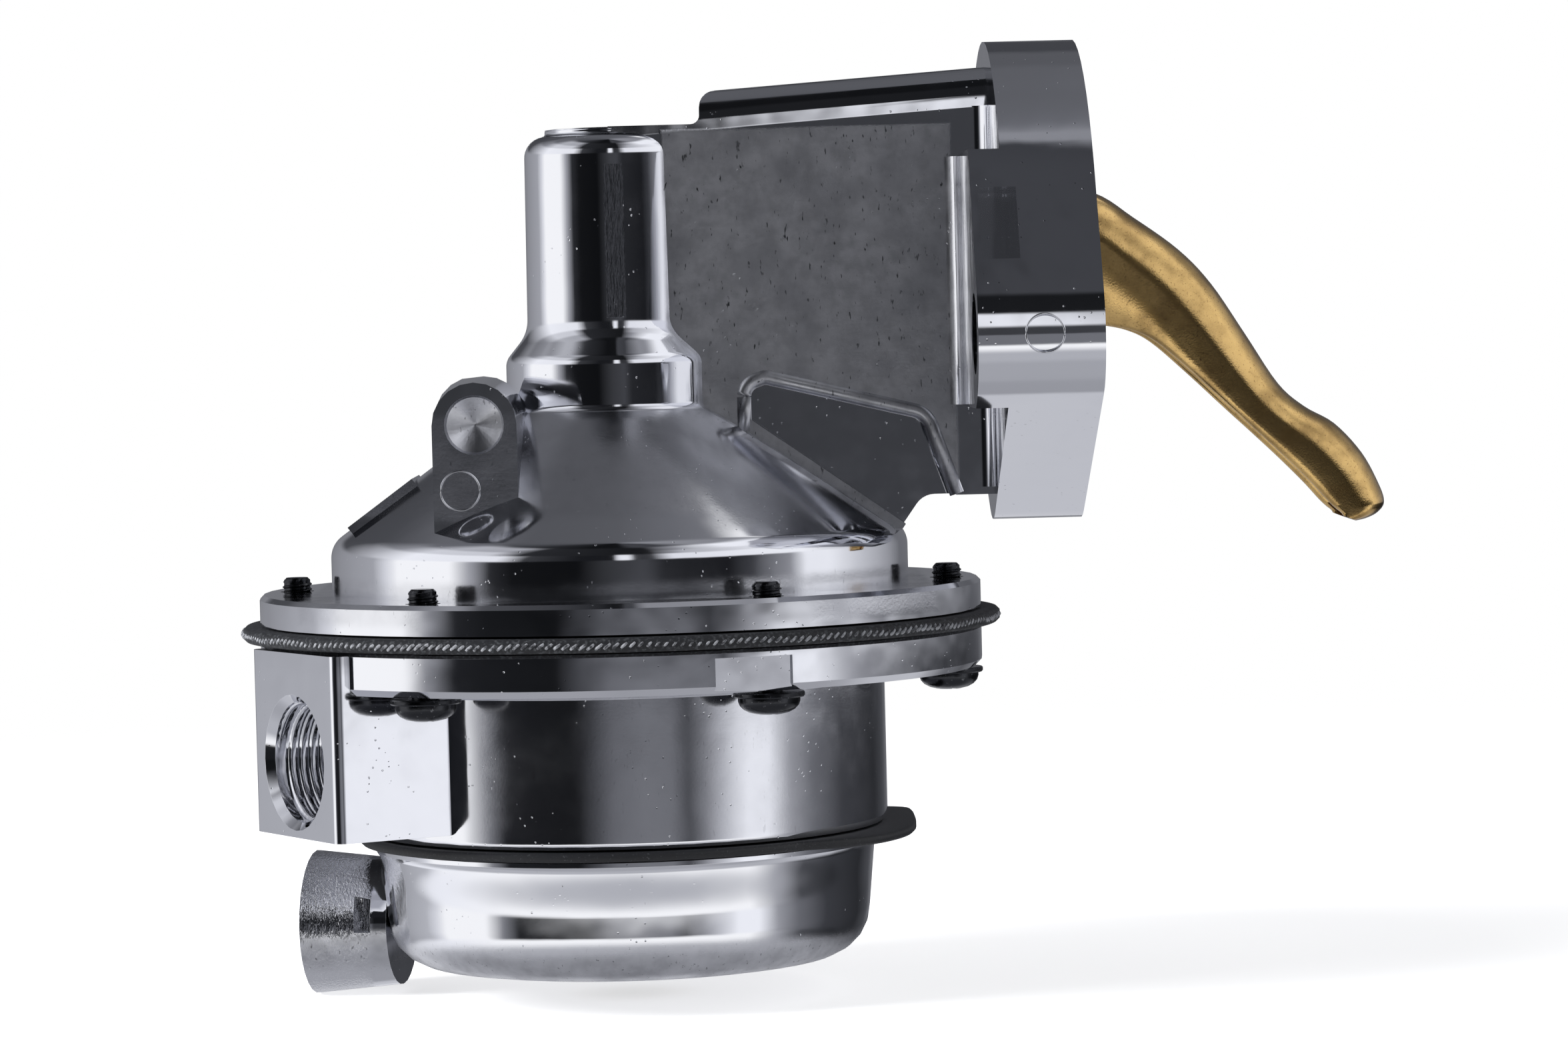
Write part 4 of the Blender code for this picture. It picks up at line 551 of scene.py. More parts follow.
class PUMP_OT_castings(bpy.types.Operator):
    """Dress the three polished castings with rounded edges and bright plating"""

    bl_idname = "pump.castings"
    bl_label = "Castings"

    def execute(self, context):
        edge = context.scene.pump_sizes.cast_edge
        near_side = ((6.8, -9.8, 57.0), (45.8, -7.8, 111.4), 0.6, 1.0)
        far_side = ((6.8, 7.8, 57.0), (45.8, 9.8, 111.4), 0.6, 1.0)
        cone = ((-38.0, -38.0, 60.0), (14.0, 38.0, 75.5), 2.0, 0.3)
        near_cone = ((12.0, -38.0, 58.0), (38.0, -9.6, 73.0), 2.0, 0.3)
        wall = ((-42.0, -42.0, 47.0), (42.0, 42.0, 53.5), 1.5, 0.3)
        spot = ((-22.0, -26.95, 69.0), (-14.0, -24.0, 77.0), 0.05, 0.6)
        stripe = ((-0.9, -13.0, 86.0), (2.1, -11.7, 108.0), 0.3, (1.0, 1.0, 9.0), 0.12)
        finish = {
            "upper_housing": polished_die_casting(
                "polished_upper_housing", [near_side, far_side, cone, near_cone, wall, spot], [stripe]
            ),
            "valve_body": polished_die_casting(
                "polished_valve_body",
                [
                    ((-20.0, -40.0, 19.0), (-2.0, -20.0, 38.5), 4.0, 0.12),
                    ((-19.0, -38.0, 18.0), (38.0, 38.0, 39.0), 2.0, 0.16),
                ],
            ),
            "bottom_cover": polished_die_casting(
                "polished_bottom_cover",
                [((-60.0, -60.0, -2.0), (60.0, 60.0, 6.0), 3.0, 0.8)],
                [((-48.0, -14.0, -7.0), (-34.5, 26.0, 17.0), 1.5, (1.0, 1.0, 5.0), 0.16)],
                swell=(9.0, 15.5, 0.5),
            ),
        }
        for node, material in finish.items():
            piece = round_edges(fine_copy(node, f"{node}_polished"), edge)
            dress(piece, material, "housing", [node])
        self.make_dome(finish["upper_housing"])
        self.make_marks(finish["upper_housing"])
        return {"FINISHED"}

    def make_dome(self, material):
        """The turned outside from the tower to the dome with its soft fillets, as a skin on the casting."""
        corners = (
            (0.4, 65.23, 0.0),
            (8.63, 65.23, 0.3),
            (8.63, 64.35, 0.4),
            (11.43, 64.35, 2.8),
            (11.63, 38.1, 5.0),
            (14.63, 34.43, 2.4),
            (14.63, 27.83, 1.3),
            (38.83, 10.31, 3.5),
            (38.83, 3.85, 0.0),
        )
        outside = [(r * MM, HOUSING_LOW.z + z * MM) for r, z in soften(corners)]
        inside = [(r - 0.4 * MM if r > 0.5 * MM else 0.2 * MM, z - 0.3 * MM) for r, z in reversed(outside)]
        skin = ring("dome_skin", outside + inside, 160)
        low = Vector((2.0 * MM, -8.0 * MM, HOUSING_LOW.z + 38.0 * MM))
        high = Vector((16.0 * MM, 8.0 * MM, HOUSING_LOW.z + 63.0 * MM))
        corners = [(low.x, low.y), (high.x, low.y), (high.x, high.y), (low.x, high.y)]
        cut(skin, swept("arm_passage", [[Vector((x, y, z)) for x, y in corners] for z in (low.z, high.z)]))
        skin.data.shade_smooth()
        skin.data.set_sharp_from_angle(angle=math.radians(40.0))
        dress(skin, material, "housing")

    def make_marks(self, material):
        """The die's ejector circles on the near ear and the lug, and the soft bead round each side pocket."""
        circle = [math.tau * i / 48 for i in range(48)]
        for name, centre, radius in (
            ("ear_ejector_mark", (54.8, -49.08, 83.1), 2.45),
            ("lug_ejector_mark", (-20.0, -27.0, 64.5), 2.55),
        ):
            path = [
                Vector(centre) * MM + radius * MM * Vector((math.cos(a), 0.0, math.sin(a))) for a in circle
            ]
            dress(tube(name, path, 0.13 * MM, closed=True), material, "housing")
        corners = (
            (17.1, 71.0, 0.0),
            (17.1, 77.1, 2.4),
            (20.0, 78.2, 2.0),
            (41.6, 72.8, 3.2),
            (45.4, 61.9, 0.0),
        )
        for side, y in (("near", -8.1), ("far", 8.1)):
            path = [Vector((x, y, z)) * MM for x, z in soften(corners)]
            bead = tube(f"pocket_bead_{side}", path, 1.1 * MM, sides=16)
            dress(bead, material, "housing")


# Stations along the rocker arm from the fork to the tip, in millimetres from the pivot: the web's back and
# the edge of the cheeks below it, and how far the cheeks are pressed in there
ARM_STATIONS = (
    ((-57.0, 2.8), (-57.0, -1.6), 0.0),
    ((-40.0, 3.0), (-40.0, -1.8), 0.0),
    ((-22.0, 4.8), (-20.0, -2.8), 0.0),
    ((-8.0, 7.2), (-7.0, -7.0), 0.1),
    ((3.0, 7.6), (2.0, -10.6), 0.45),
    ((11.9, 5.7), (9.0, -11.7), 0.55),
    ((17.3, 2.2), (13.0, -12.2), 0.55),
    ((23.3, -2.3), (16.6, -13.0), 0.5),
    ((27.6, -7.0), (19.8, -14.7), 0.4),
    ((32.0, -13.8), (24.4, -18.8), 0.2),
    ((36.3, -20.6), (29.6, -23.8), 0.05),
    ((39.8, -23.8), (33.4, -27.4), 0.0),
    ((43.8, -26.2), (37.0, -30.9), 0.0),
    ((47.4, -30.2), (40.2, -34.2), 0.0),
    ((49.6, -34.4), (42.3, -36.6), 0.0),
    ((50.3, -36.9), (43.3, -37.6), 0.0),
    ((49.4, -38.3), (43.8, -38.0), 0.0),
    ((47.8, -39.1), (44.1, -38.3), 0.0),
    ((46.3, -39.4), (44.3, -38.6), 0.0),
)


def spline(points, steps):
    """A smooth line of points through these ones."""
    line = []
    last = len(points) - 1
    for i in range(last):
        a, b, c, d = (Vector(points[min(max(k, 0), last)]) for k in (i - 1, i, i + 1, i + 2))
        for j in range(steps):
            t = j / steps
            line.append(b + 0.5 * t * (c - a + t * (2 * a - 5 * b + 4 * c - d + t * (3 * b - a - 3 * c + d))))
    line.append(Vector(points[-1]))
    return line


def cut(piece, cutter):
    """Takes the cutter out of the piece."""
    hole = piece.modifiers.new("cut", "BOOLEAN")
    hole.object = cutter
    hole.operation = "DIFFERENCE"
    hole.solver = "EXACT"
    apply_modifiers(piece)
    bpy.data.objects.remove(cutter)


class PUMP_OT_rocker_arm(bpy.types.Operator):
    """Make the stamped rocker arm with its rounded web, pressed cheeks and wear pad"""

    bl_idname = "pump.rocker_arm"
    bl_label = "Rocker arm"

    def execute(self, context):
        sizes = context.scene.pump_sizes
        backs = spline([station[0] for station in ARM_STATIONS], 5)
        edges = spline([station[1] for station in ARM_STATIONS], 5)
        dents = spline([(station[2], 0.0) for station in ARM_STATIONS], 5)
        sections = [
            self.section(back * MM, edge * MM, dent.x * MM, sizes)
            for back, edge, dent in zip(backs, edges, dents)
        ]
        piece = swept("rocker_arm_stamped", sections)
        half = ARM_HIGH.y + MM
        pin_r = PIN_HIGH.z - PIVOT.z + 0.1 * MM
        bore = [(0.0, 0.0), (pin_r, 0.0), (pin_r, 2.0 * half), (0.0, 2.0 * half)]
        near = PIVOT - Vector((0.0, half, 0.0))
        cut(piece, turned("pin_bore", bore, near, PIVOT))
        slot_r = 2.8 * MM
        bend = [math.radians(a) for a in range(-90, 91, 15)]
        round_end = [(slot_r * math.cos(a) + 0.6 * MM, slot_r * math.sin(a)) for a in bend]
        slot = [(-9.0 * MM, -slot_r), *round_end]
        slot.append((-9.0 * MM, slot_r))
        low, high = PIVOT.z - 9.0 * MM, PIVOT.z + 9.0 * MM
        cut(piece, swept("fork_slot", [[Vector((x, y, z)) for x, y in slot] for z in (low, high)]))
        piece.data.shade_smooth()
        piece.data.set_sharp_from_angle(angle=math.radians(50.0))
        dress(piece, yellow_zinc(), "arm", ["rocker_arm"])
        return {"FINISHED"}

    def section(self, back, edge, dent, sizes):
        """The channel's section: up one cheek, over the web, down the other, and back along the inside."""
        down = edge - back
        height = down.length
        down.normalize()
        half = ARM_HIGH.y
        sheet = sizes.arm_sheet
        bend = sizes.arm_bend
        drop = min(bend * 1.2, height * 0.55)
        roll = min(0.45 * MM, height * 0.1)
        foot = min(drop + 2.2 * MM, height * 0.85)
        arcs = [math.radians(a) for a in range(0, 91, 15)]
        outside = [(half - dent - roll, height), (half - dent, height - roll), (half - dent, foot)]
        outside += [(half - bend * (1.0 - math.cos(a)), drop * (1.0 - math.sin(a))) for a in arcs]
        wall = max(drop - sheet, 0.1 * MM)
        inner_bend = bend - sheet
        inside = [
            (half - bend + inner_bend * math.cos(a), drop - wall * math.sin(a)) for a in reversed(arcs)
        ]
        inside += [(half - dent - sheet, foot), (half - dent - sheet, height - roll)]
        inside.append((half - dent - sheet + roll, height))
        outline = [*[(-y, v) for y, v in outside], *reversed(outside)]
        outline += [*reversed(inside), *[(-y, v) for y, v in inside]]
        places = [(y, back + down * v) for y, v in outline]
        return [Vector((PIVOT.x + place.x, y, PIVOT.z + place.y)) for y, place in places]


class PUMP_OT_port_threads(bpy.types.Operator):
    """Cut the taper pipe threads into the two ports"""

    bl_idname = "pump.port_threads"
    bl_label = "Port threads"

    def execute(self, context):
        sizes = context.scene.pump_sizes
        material = polished_die_casting("cut_port_thread")
        # Centre of each mouth, bore radius at the mouth and at the bottom, and the depth of full thread
        bores = {
            "inlet_port_face": (0.0296, 7.9 * MM, 7.5 * MM, 11.5 * MM),
            "outlet_port_face": (0.0049, 7.3 * MM, 7.0 * MM, 9.0 * MM),
        }
        for mount, (z, radius, end_radius, length) in bores.items():
            axis = Vector(PORTS[mount]["axis"]).normalized()
            reach = Vector(PORTS[mount]["pos_m"]).dot(axis)
            mouth = axis * (reach - 1.6 * MM)
            mouth.z = z
            name = mount.replace("_face", "_thread")
            piece = thread(
                name, mouth, mouth - axis, radius, end_radius, length, sizes.port_pitch, sizes.port_ridge
            )
            dress(piece, material, "housing")
        return {"FINISHED"}


class PUMP_OT_flange_screws(bpy.types.Operator):
    """Make the six pan-head screws with their cross recess and thread ends"""

    bl_idname = "pump.flange_screws"
    bl_label = "Flange screws"

    def execute(self, context):
        material = black_oxide()
        for index in range(1, 7):
            node = f"flange_screw_{index}"
            low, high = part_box(node)
            piece = self.screw(f"{node}_black", low, high, context.scene.pump_sizes)
            dress(piece, material, "housing", [node])
        return {"FINISHED"}

    def screw(self, name, low, high, sizes):
        """A turned pan head with a washer face, its thread running out at the top."""
        x = (low.x + high.x) / 2.0
        y = (low.y + high.y) / 2.0
        length = high.z - low.z
        washer_r = (high.x - low.x) / 2.0
        head_r = washer_r - 0.6 * MM
        shank_r = 2.0 * MM
        core_r = shank_r - sizes.screw_ridge
        seat = 3.0 * MM
        profile = [(0.0, 0.0)]
        crown = (0.3, 0.6, 0.9, 1.2, 1.5)
        profile += [(head_r * math.sin(a) ** 0.75, 1.9 * MM * (1.0 - math.cos(a))) for a in crown]
        profile += [
            (head_r, seat - 0.75 * MM),
            (washer_r - 0.15 * MM, seat - 0.72 * MM),
            (washer_r, seat - 0.55 * MM),
            (washer_r, seat - 0.15 * MM),
            (washer_r - 0.15 * MM, seat),
            (core_r, seat),
            (core_r, length - 0.35 * MM),
            (core_r - 0.35 * MM, length),
            (0.0, length),
        ]
        piece = turned(name, profile, (x, y, low.z), (x, y, high.z), 32)
        self.cut_cross(piece, Vector((x, y, low.z)))
        ridge = thread(
            "ridge",
            (x, y, high.z - 6.0 * MM),
            (x, y, high.z),
            core_r,
            core_r,
            5.7 * MM,
            sizes.screw_pitch,
            -sizes.screw_ridge,
            24,
        )
        return join([piece, ridge], name)

    def cut_cross(self, piece, centre):
        """Cuts the cross recess into the head from below."""
        for turn in (0.0, math.pi / 2.0):
            cutter = wedge(2.3 * MM, 0.45 * MM, 1.3 * MM)
            cutter.data.transform(Matrix.Translation(centre) @ Matrix.Rotation(turn + 0.4, 4, "Z"))
            cut(piece, cutter)
        piece.data.shade_smooth()
        piece.data.set_sharp_from_angle(angle=math.radians(35.0))


def wedge(reach, half, depth):
    """One bar of a cross recess, narrowing as it goes in."""
    points = []
    for z, r, w in ((-0.5 * MM, reach, half), (depth, reach * 0.45, half * 0.7)):
        points += [(-r, -w, z), (r, -w, z), (r, w, z), (-r, w, z)]
    faces = [(3, 2, 1, 0), (4, 5, 6, 7), (0, 1, 5, 4), (1, 2, 6, 5), (2, 3, 7, 6), (3, 0, 4, 7)]
    return mesh_from("recess", points, faces)


def join(pieces, name):
    """Joins the pieces into the first one's place as one mesh."""
    work = bmesh.new()
    for piece in pieces:
        work.from_mesh(piece.data)
    mesh = bpy.data.meshes.new(name)
    work.to_mesh(mesh)
    work.free()
    for piece in pieces:
        bpy.data.objects.remove(piece)
    mesh.shade_smooth()
    mesh.set_sharp_from_angle(angle=math.radians(35.0))
    return new_object(name, mesh)


def ring(name, profile, steps, wobble=None):
    """A ring about the pump's axis from a closed profile of radius and height."""
    sections = []
    for i in range(steps):
        angle = math.tau * i / steps
        extra = wobble(angle) if wobble else 0.0
        sections.append(
            [Vector(((r + extra) * math.sin(angle), -(r + extra) * math.cos(angle), z)) for r, z in profile]
        )
    piece = swept(name, sections, closed=True)
    work = bmesh.new()
    work.from_mesh(piece.data)
    bmesh.ops.recalc_face_normals(work, faces=work.faces)
    work.to_mesh(piece.data)
    work.free()
    return piece


class PUMP_OT_diaphragm(bpy.types.Operator):
    """Make the diaphragm: its clamped edge with cut yarn, its bending web and its clamped middle"""

    bl_idname = "pump.diaphragm"
    bl_label = "Diaphragm"

    def execute(self, context):
        sizes = context.scene.pump_sizes
        low = DIAPHRAGM_LOW.z
        high = DIAPHRAGM_HIGH.z
        self.clamp_r = 36.4 * MM
        self.middle_r = PLATE_R + 0.3 * MM
        cloth = rubbered_cloth()
        r = DIAPHRAGM_R - 0.25 * MM
        edge_profile = [
            (self.clamp_r, low),
            (r - 0.4 * MM, low),
            (r, low + 0.4 * MM),
            (r, high - 0.4 * MM),
            (r - 0.4 * MM, high),
            (self.clamp_r, high),
        ]
        uneven = 0.12 * MM
        edge = ring(
            *("diaphragm_edge", edge_profile, 360),
            lambda a: uneven * math.sin(9.0 * a) * math.sin(4.0 * a + 1.0),
        )
        dress(edge, cloth, "housing", ["diaphragm"])
        middle_profile = [(2.6 * MM, low), (self.middle_r, low), (self.middle_r, high), (2.6 * MM, high)]
        middle = ring("diaphragm_middle", middle_profile, 96)
        middle.data.set_sharp_from_angle(angle=math.radians(35.0))
        dress(middle, cloth, "rod", ["diaphragm"])
        self.make_web(cloth, low, high, sizes.web_sectors)
        self.make_yarn(low, high, sizes)
        return {"FINISHED"}

    def make_web(self, cloth, low, high, sectors):
        """The free ring between rim and plates, in sectors that each bend along their own radius."""
        for index in range(sectors):
            middle_angle = math.tau * (index + 0.5) / sectors
            half = math.pi / sectors
            sections = []
            for i in range(9):
                angle = middle_angle - half + 2.0 * half * i / 8
                out = Vector((math.sin(angle), -math.cos(angle), 0.0))
                section = []
                for side, z in ((0, low), (1, high)):
                    steps = [j / 6 for j in range(7)]
                    for t in reversed(steps) if side else steps:
                        radius = self.middle_r + (self.clamp_r - self.middle_r) * t
                        section.append(out * radius + Vector((0.0, 0.0, z)))
                sections.append(section)
            piece = swept(f"diaphragm_web_{index + 1}", sections)
            work = bmesh.new()
            work.from_mesh(piece.data)
            bmesh.ops.recalc_face_normals(work, faces=work.faces)
            work.to_mesh(piece.data)
            work.free()
            piece.data.set_sharp_from_angle(angle=math.radians(35.0))
            dress(piece, cloth, None, ["diaphragm"])
            out = Vector((math.sin(middle_angle), -math.cos(middle_angle), 0.0))
            spread = math.cos(half)
            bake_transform(piece, "rod", "housing", start=out * self.middle_r, end=out * self.clamp_r * spread)

    def make_yarn(self, low, high, sizes):
        """Two strands twisted round each other along the cut edge."""
        material = cut_yarn()
        middle = (low + high) / 2.0
        circle = DIAPHRAGM_R - sizes.yarn * 0.85
        turns = round(math.tau * circle / sizes.yarn_twist)
        for strand in range(2):
            sections = []
            steps = turns * 8
            for i in range(steps):
                angle = math.tau * i / steps
                twist = turns * angle + math.pi * strand
                out = Vector((math.sin(angle), -math.cos(angle), 0.0))
                lift = 0.1 * MM * math.sin(23.0 * angle)
                offset = sizes.yarn * 0.42
                centre = out * (circle + offset * math.cos(twist))
                centre.z = middle + offset * math.sin(twist) + lift
                thick = sizes.yarn * 0.42
                sections.append(
                    [
                        centre + out * thick * math.cos(a) + Vector((0.0, 0.0, thick * math.sin(a)))
                        for a in [math.tau * j / 6 for j in range(6)]
                    ]
                )
            piece = swept(f"diaphragm_yarn_{strand + 1}", sections, closed=True)
            dress(piece, material, "housing")


class PUMP_OT_gasket(bpy.types.Operator):
    """Make the black rubber gasket with its rounded tab and softened edges"""

    bl_idname = "pump.gasket"
    bl_label = "Gasket"

    def execute(self, context):
        low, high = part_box("cover_gasket")
        radius = high.y
        soft = 0.3 * MM
        inner = radius - 5.4 * MM
        sections = []
        for i in range(240):
            angle = math.tau * i / 240
            out = Vector((math.sin(angle), -math.cos(angle), 0.0))
            outer = max(radius, self.tab_reach(out, high.x))
            profile = [
                (inner, low.z),
                (outer - soft, low.z),
                (outer, low.z + soft),
                (outer, high.z - soft),
                (outer - soft, high.z),
                (inner, high.z),
            ]
            sections.append([out * r + Vector((0.0, 0.0, z)) for r, z in profile])
        piece = swept("cover_gasket_moulded", sections, closed=True)
        piece.data.set_sharp_from_angle(angle=math.radians(50.0))
        finishes = context.scene.pump_finishes
        material = moulded_rubber("nitrile_rubber", finishes.rubber, "#4A4B4F")
        dress(piece, material, "housing", ["cover_gasket"])
        return {"FINISHED"}

    def tab_reach(self, out, reach):
        """How far the tab goes in this direction: straight sides that meet in rounded corners."""
        sides = (
            *(((1.0, 0.0), reach), ((0.86, -0.51), 40.2 * MM)),
            *(((0.3, -0.95), 33.4 * MM), ((0.2, 0.98), 24.5 * MM)),
        )
        sharpness = 18.0
        total = 0.0
        for (x, y), distance in sides:
            toward = (out.x * x + out.y * y) / distance
            if out.x < 0.0:
                return 0.0
            if toward > 0.0:
                total += toward**sharpness
        return total ** (-1.0 / sharpness) if total else 0.0


class PUMP_OT_springs(bpy.types.Operator):
    """Make the round-wire springs, which shorten as their pieces move"""

    bl_idname = "pump.springs"
    bl_label = "Springs"

    def execute(self, context):
        finishes = context.scene.pump_finishes
        wire = plain_metal("drawn_spring_wire", finishes.steel, 0.3, 0.5)
        # Node, the body that its lower end follows, and the body that its upper end follows
        ends = (
            ("arm_return_spring", "arm", "housing"),
            ("diaphragm_spring", "rod", "housing"),
            ("inlet_valve_spring", "inlet_disc", "housing"),
            ("outlet_valve_spring", "housing", "outlet_disc"),
        )
        for node, lower_body, upper_body in ends:
            low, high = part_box(node)
            centre = (low + high) / 2.0
            piece = fine_copy(node, f"{node}_wire")
            piece.modifiers.new("round wire", "SUBSURF").levels = 1
            apply_modifiers(piece)
            piece.data.shade_smooth()
            dress(piece, wire, None, [node])
            start = (centre.x, centre.y, low.z)
            end = (centre.x, centre.y, high.z)
            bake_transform(piece, lower_body, upper_body, start=start, end=end)
        return {"FINISHED"}


class PUMP_OT_inner_metal(bpy.types.Operator):
    """Give the pieces inside the pump their finishes"""

    bl_idname = "pump.inner_metal"
    bl_label = "Inner pieces"

    def execute(self, context):
        finishes = context.scene.pump_finishes
        ground = plain_metal("ground_steel", finishes.steel, 0.2, 0.3, (1.0, 1.0, 6.0))
        pressed = plain_metal("pressed_steel", finishes.steel, 0.32, 1.2)
        brass = plain_metal("turned_brass", finishes.brass, 0.28, 0.25)
        nylon = moulded_plastic("natural_nylon", "#E3DFCF", 0.45)
        phenolic = moulded_plastic("moulded_phenolic", "#3A2C22", 0.4)
        copper = plain_metal("soft_copper", to_linear("#C4764E"), 0.35, 0.6)
        rubber = moulded_rubber("seal_rubber", finishes.rubber, "#3C3D40")
        oxide = black_oxide()
        oxide.name = "black_oxide_bolt"
        by_node = {
            "pivot_pin": ground,
            "pull_rod": ground,
            "upper_plate": pressed,
            "lower_plate": pressed,
            "seal_retainer": pressed,
            "rod_nut": pressed,
            "rod_bush": nylon,
            "rod_seal": rubber,
            "inlet_valve_seat": brass,
            "inlet_valve_stem": brass,
            "outlet_valve_seat": brass,
            "outlet_valve_stem": brass,
            "inlet_valve_disc": phenolic,
            "outlet_valve_disc": phenolic,
            "bolt_washer": copper,
            "cover_bolt": oxide,
        }
        for node, material in by_node.items():
            obj = frame["nodes"][node]
            obj.data.materials.clear()
            obj.data.materials.append(material)
        return {"FINISHED"}


class PUMP_OT_studio(bpy.types.Operator):
    """Set up the floor, the light tent, the key light and the camera"""

    bl_idname = "pump.studio"
    bl_label = "Studio"

    def execute(self, context):
        studio = context.scene.pump_studio
        self.make_camera(context, studio)
        self.make_floor(studio)
        self.make_tent(context)
        self.make_key(studio)
        context.scene.view_settings.view_transform = "Standard"
        return {"FINISHED"}

    def make_camera(self, context, studio):
        """The photograph's view, a little right of the pump's axis and turned slightly down."""
        data = bpy.data.cameras.new("camera")
        data.lens = studio.lens
        data.sensor_width = 36.0
        data.clip_start = 0.01
        camera = bpy.data.objects.new("camera", data)
        context.scene.collection.objects.link(camera)
        pan = 0.01595
        tilt = 0.03975
        roll = -0.0255
        forward = Vector((math.sin(pan) * math.cos(tilt), math.cos(pan) * math.cos(tilt), -math.sin(tilt)))
        turn = forward.to_track_quat("-Z", "Y").to_matrix().to_4x4() @ Matrix.Rotation(roll, 4, "Z")
        eye = (0.0114, -0.680, 0.0853)
        camera.matrix_world = Matrix.Translation(eye) @ turn
        context.scene.camera = camera

    def make_floor(self, studio):
        """A pale round floor that keeps the pump's soft shadow and fades into white."""
        steps = 64
        rim = [(math.cos(math.tau * i / steps), math.sin(math.tau * i / steps)) for i in range(steps)]
        points = [(studio.floor_radius * x, studio.floor_radius * y, CAD_BOX[0].z) for x, y in rim]
        floor = mesh_from("floor", points, [tuple(range(steps))])
        floor.visible_glossy = False
        material = bpy.data.materials.new("white_paper_floor")
        material.use_nodes = True
        tree = material.node_tree
        tree.nodes.clear()
        place = add_node(tree, "TexCoord")["Object"]
        radius = add_node(tree, "VectorMath", {0: place}, operation="LENGTH")["Value"]
        far = add_node(tree, "MapRange", {0: radius, 1: 0.2, 2: 0.5}, **SMOOTH)[0]
        paper = add_node(tree, "BsdfDiffuse", {"Color": to_linear("#F2F2F2")})[0]
        glow = add_node(tree, "Emission", {"Color": WHITE, "Strength": 0.62})[0]
        near_paper = add_node(tree, "AddShader", {0: paper, 1: glow})[0]
        white = add_node(tree, "Emission", {"Color": WHITE, "Strength": 1.0})[0]
        lit = add_node(tree, "MixShader", {0: far, 1: near_paper, 2: white})[0]
        ray = add_node(tree, "LightPath")
        seen = add_node(tree, "MixShader", {0: ray["Is Camera Ray"], 1: paper, 2: lit})[0]
        add_node(tree, "OutputMaterial", {0: seen})
        floor.data.materials.append(material)

    def make_key(self, studio):
        """A large lamp from the left front, which gives the shadow and the rubber's sheen."""
        data = bpy.data.lights.new("key_light", "AREA")
        data.energy = studio.key_power
        data.size = 0.35
        lamp = bpy.data.objects.new("key_light", data)
        bpy.context.scene.collection.objects.link(lamp)
        lamp.visible_glossy = False
        place = Vector((-0.75, -0.30, 0.42))
        pump_middle = Vector((0.0, 0.0, 0.05))
        aim = pump_middle - place
        lamp.matrix_world = Matrix.Translation(place) @ aim.to_track_quat("-Z", "Y").to_matrix().to_4x4()

    def make_tent(self, context):
        """A light tent all round: white panels and black flags, which the plating mirrors as bands."""
        world = bpy.data.worlds.new("light_tent")
        world.use_nodes = True
        context.scene.world = world
        tree = world.node_tree
        tree.nodes.clear()
        direction = add_node(tree, "TexCoord")["Generated"]
        x, y, z = add_node(tree, "SeparateXYZ", {0: direction})
        front = add_node(tree, "Math", {0: y, 1: -1.0}, operation="MULTIPLY")[0]
        turn = add_node(tree, "Math", {0: x, 1: front}, operation="ARCTAN2")[0]
        turn = add_node(tree, "Math", {0: turn, 1: math.tau}, operation="DIVIDE")[0]
        turn = add_node(tree, "Math", {0: turn, 1: 0.5}, operation="ADD")[0]
        height = add_node(tree, "Math", {0: z}, operation="ARCSINE")[0]
        height = add_node(tree, "Math", {0: height, 1: 180.0 / math.pi}, operation="MULTIPLY")[0]
        tent = None
        for (low, high), panels in TENT_ROWS:
            row = add_node(tree, "ValToRGB", {0: turn})[0]
            stops = row.node.color_ramp.elements
            while len(stops) > 1:
                stops.remove(stops[-1])
            for index, (angle, tone) in enumerate(panels):
                stop = stops[0] if index == 0 else stops.new(angle / 360.0 + 0.5)
                stop.position = angle / 360.0 + 0.5
                stop.color = to_linear(tone)
            if tent is None:
                tent = row
                continue
            rise = add_node(tree, "MapRange", {0: height, 1: low, 2: high}, **SMOOTH)[0]
            tent = add_node(tree, "Mix", {0: rise, 6: tent, 7: row}, data_type="RGBA")[2]
        ray = add_node(tree, "LightPath")
        around = add_node(tree, "Background", {"Color": tent, "Strength": 1.12})[0]
        white = add_node(tree, "Background", {"Color": WHITE, "Strength": 1.0})[0]
        shown = add_node(tree, "MixShader", {0: ray["Is Camera Ray"], 1: around, 2: white})[0]
        add_node(tree, "OutputWorld", {0: shown})


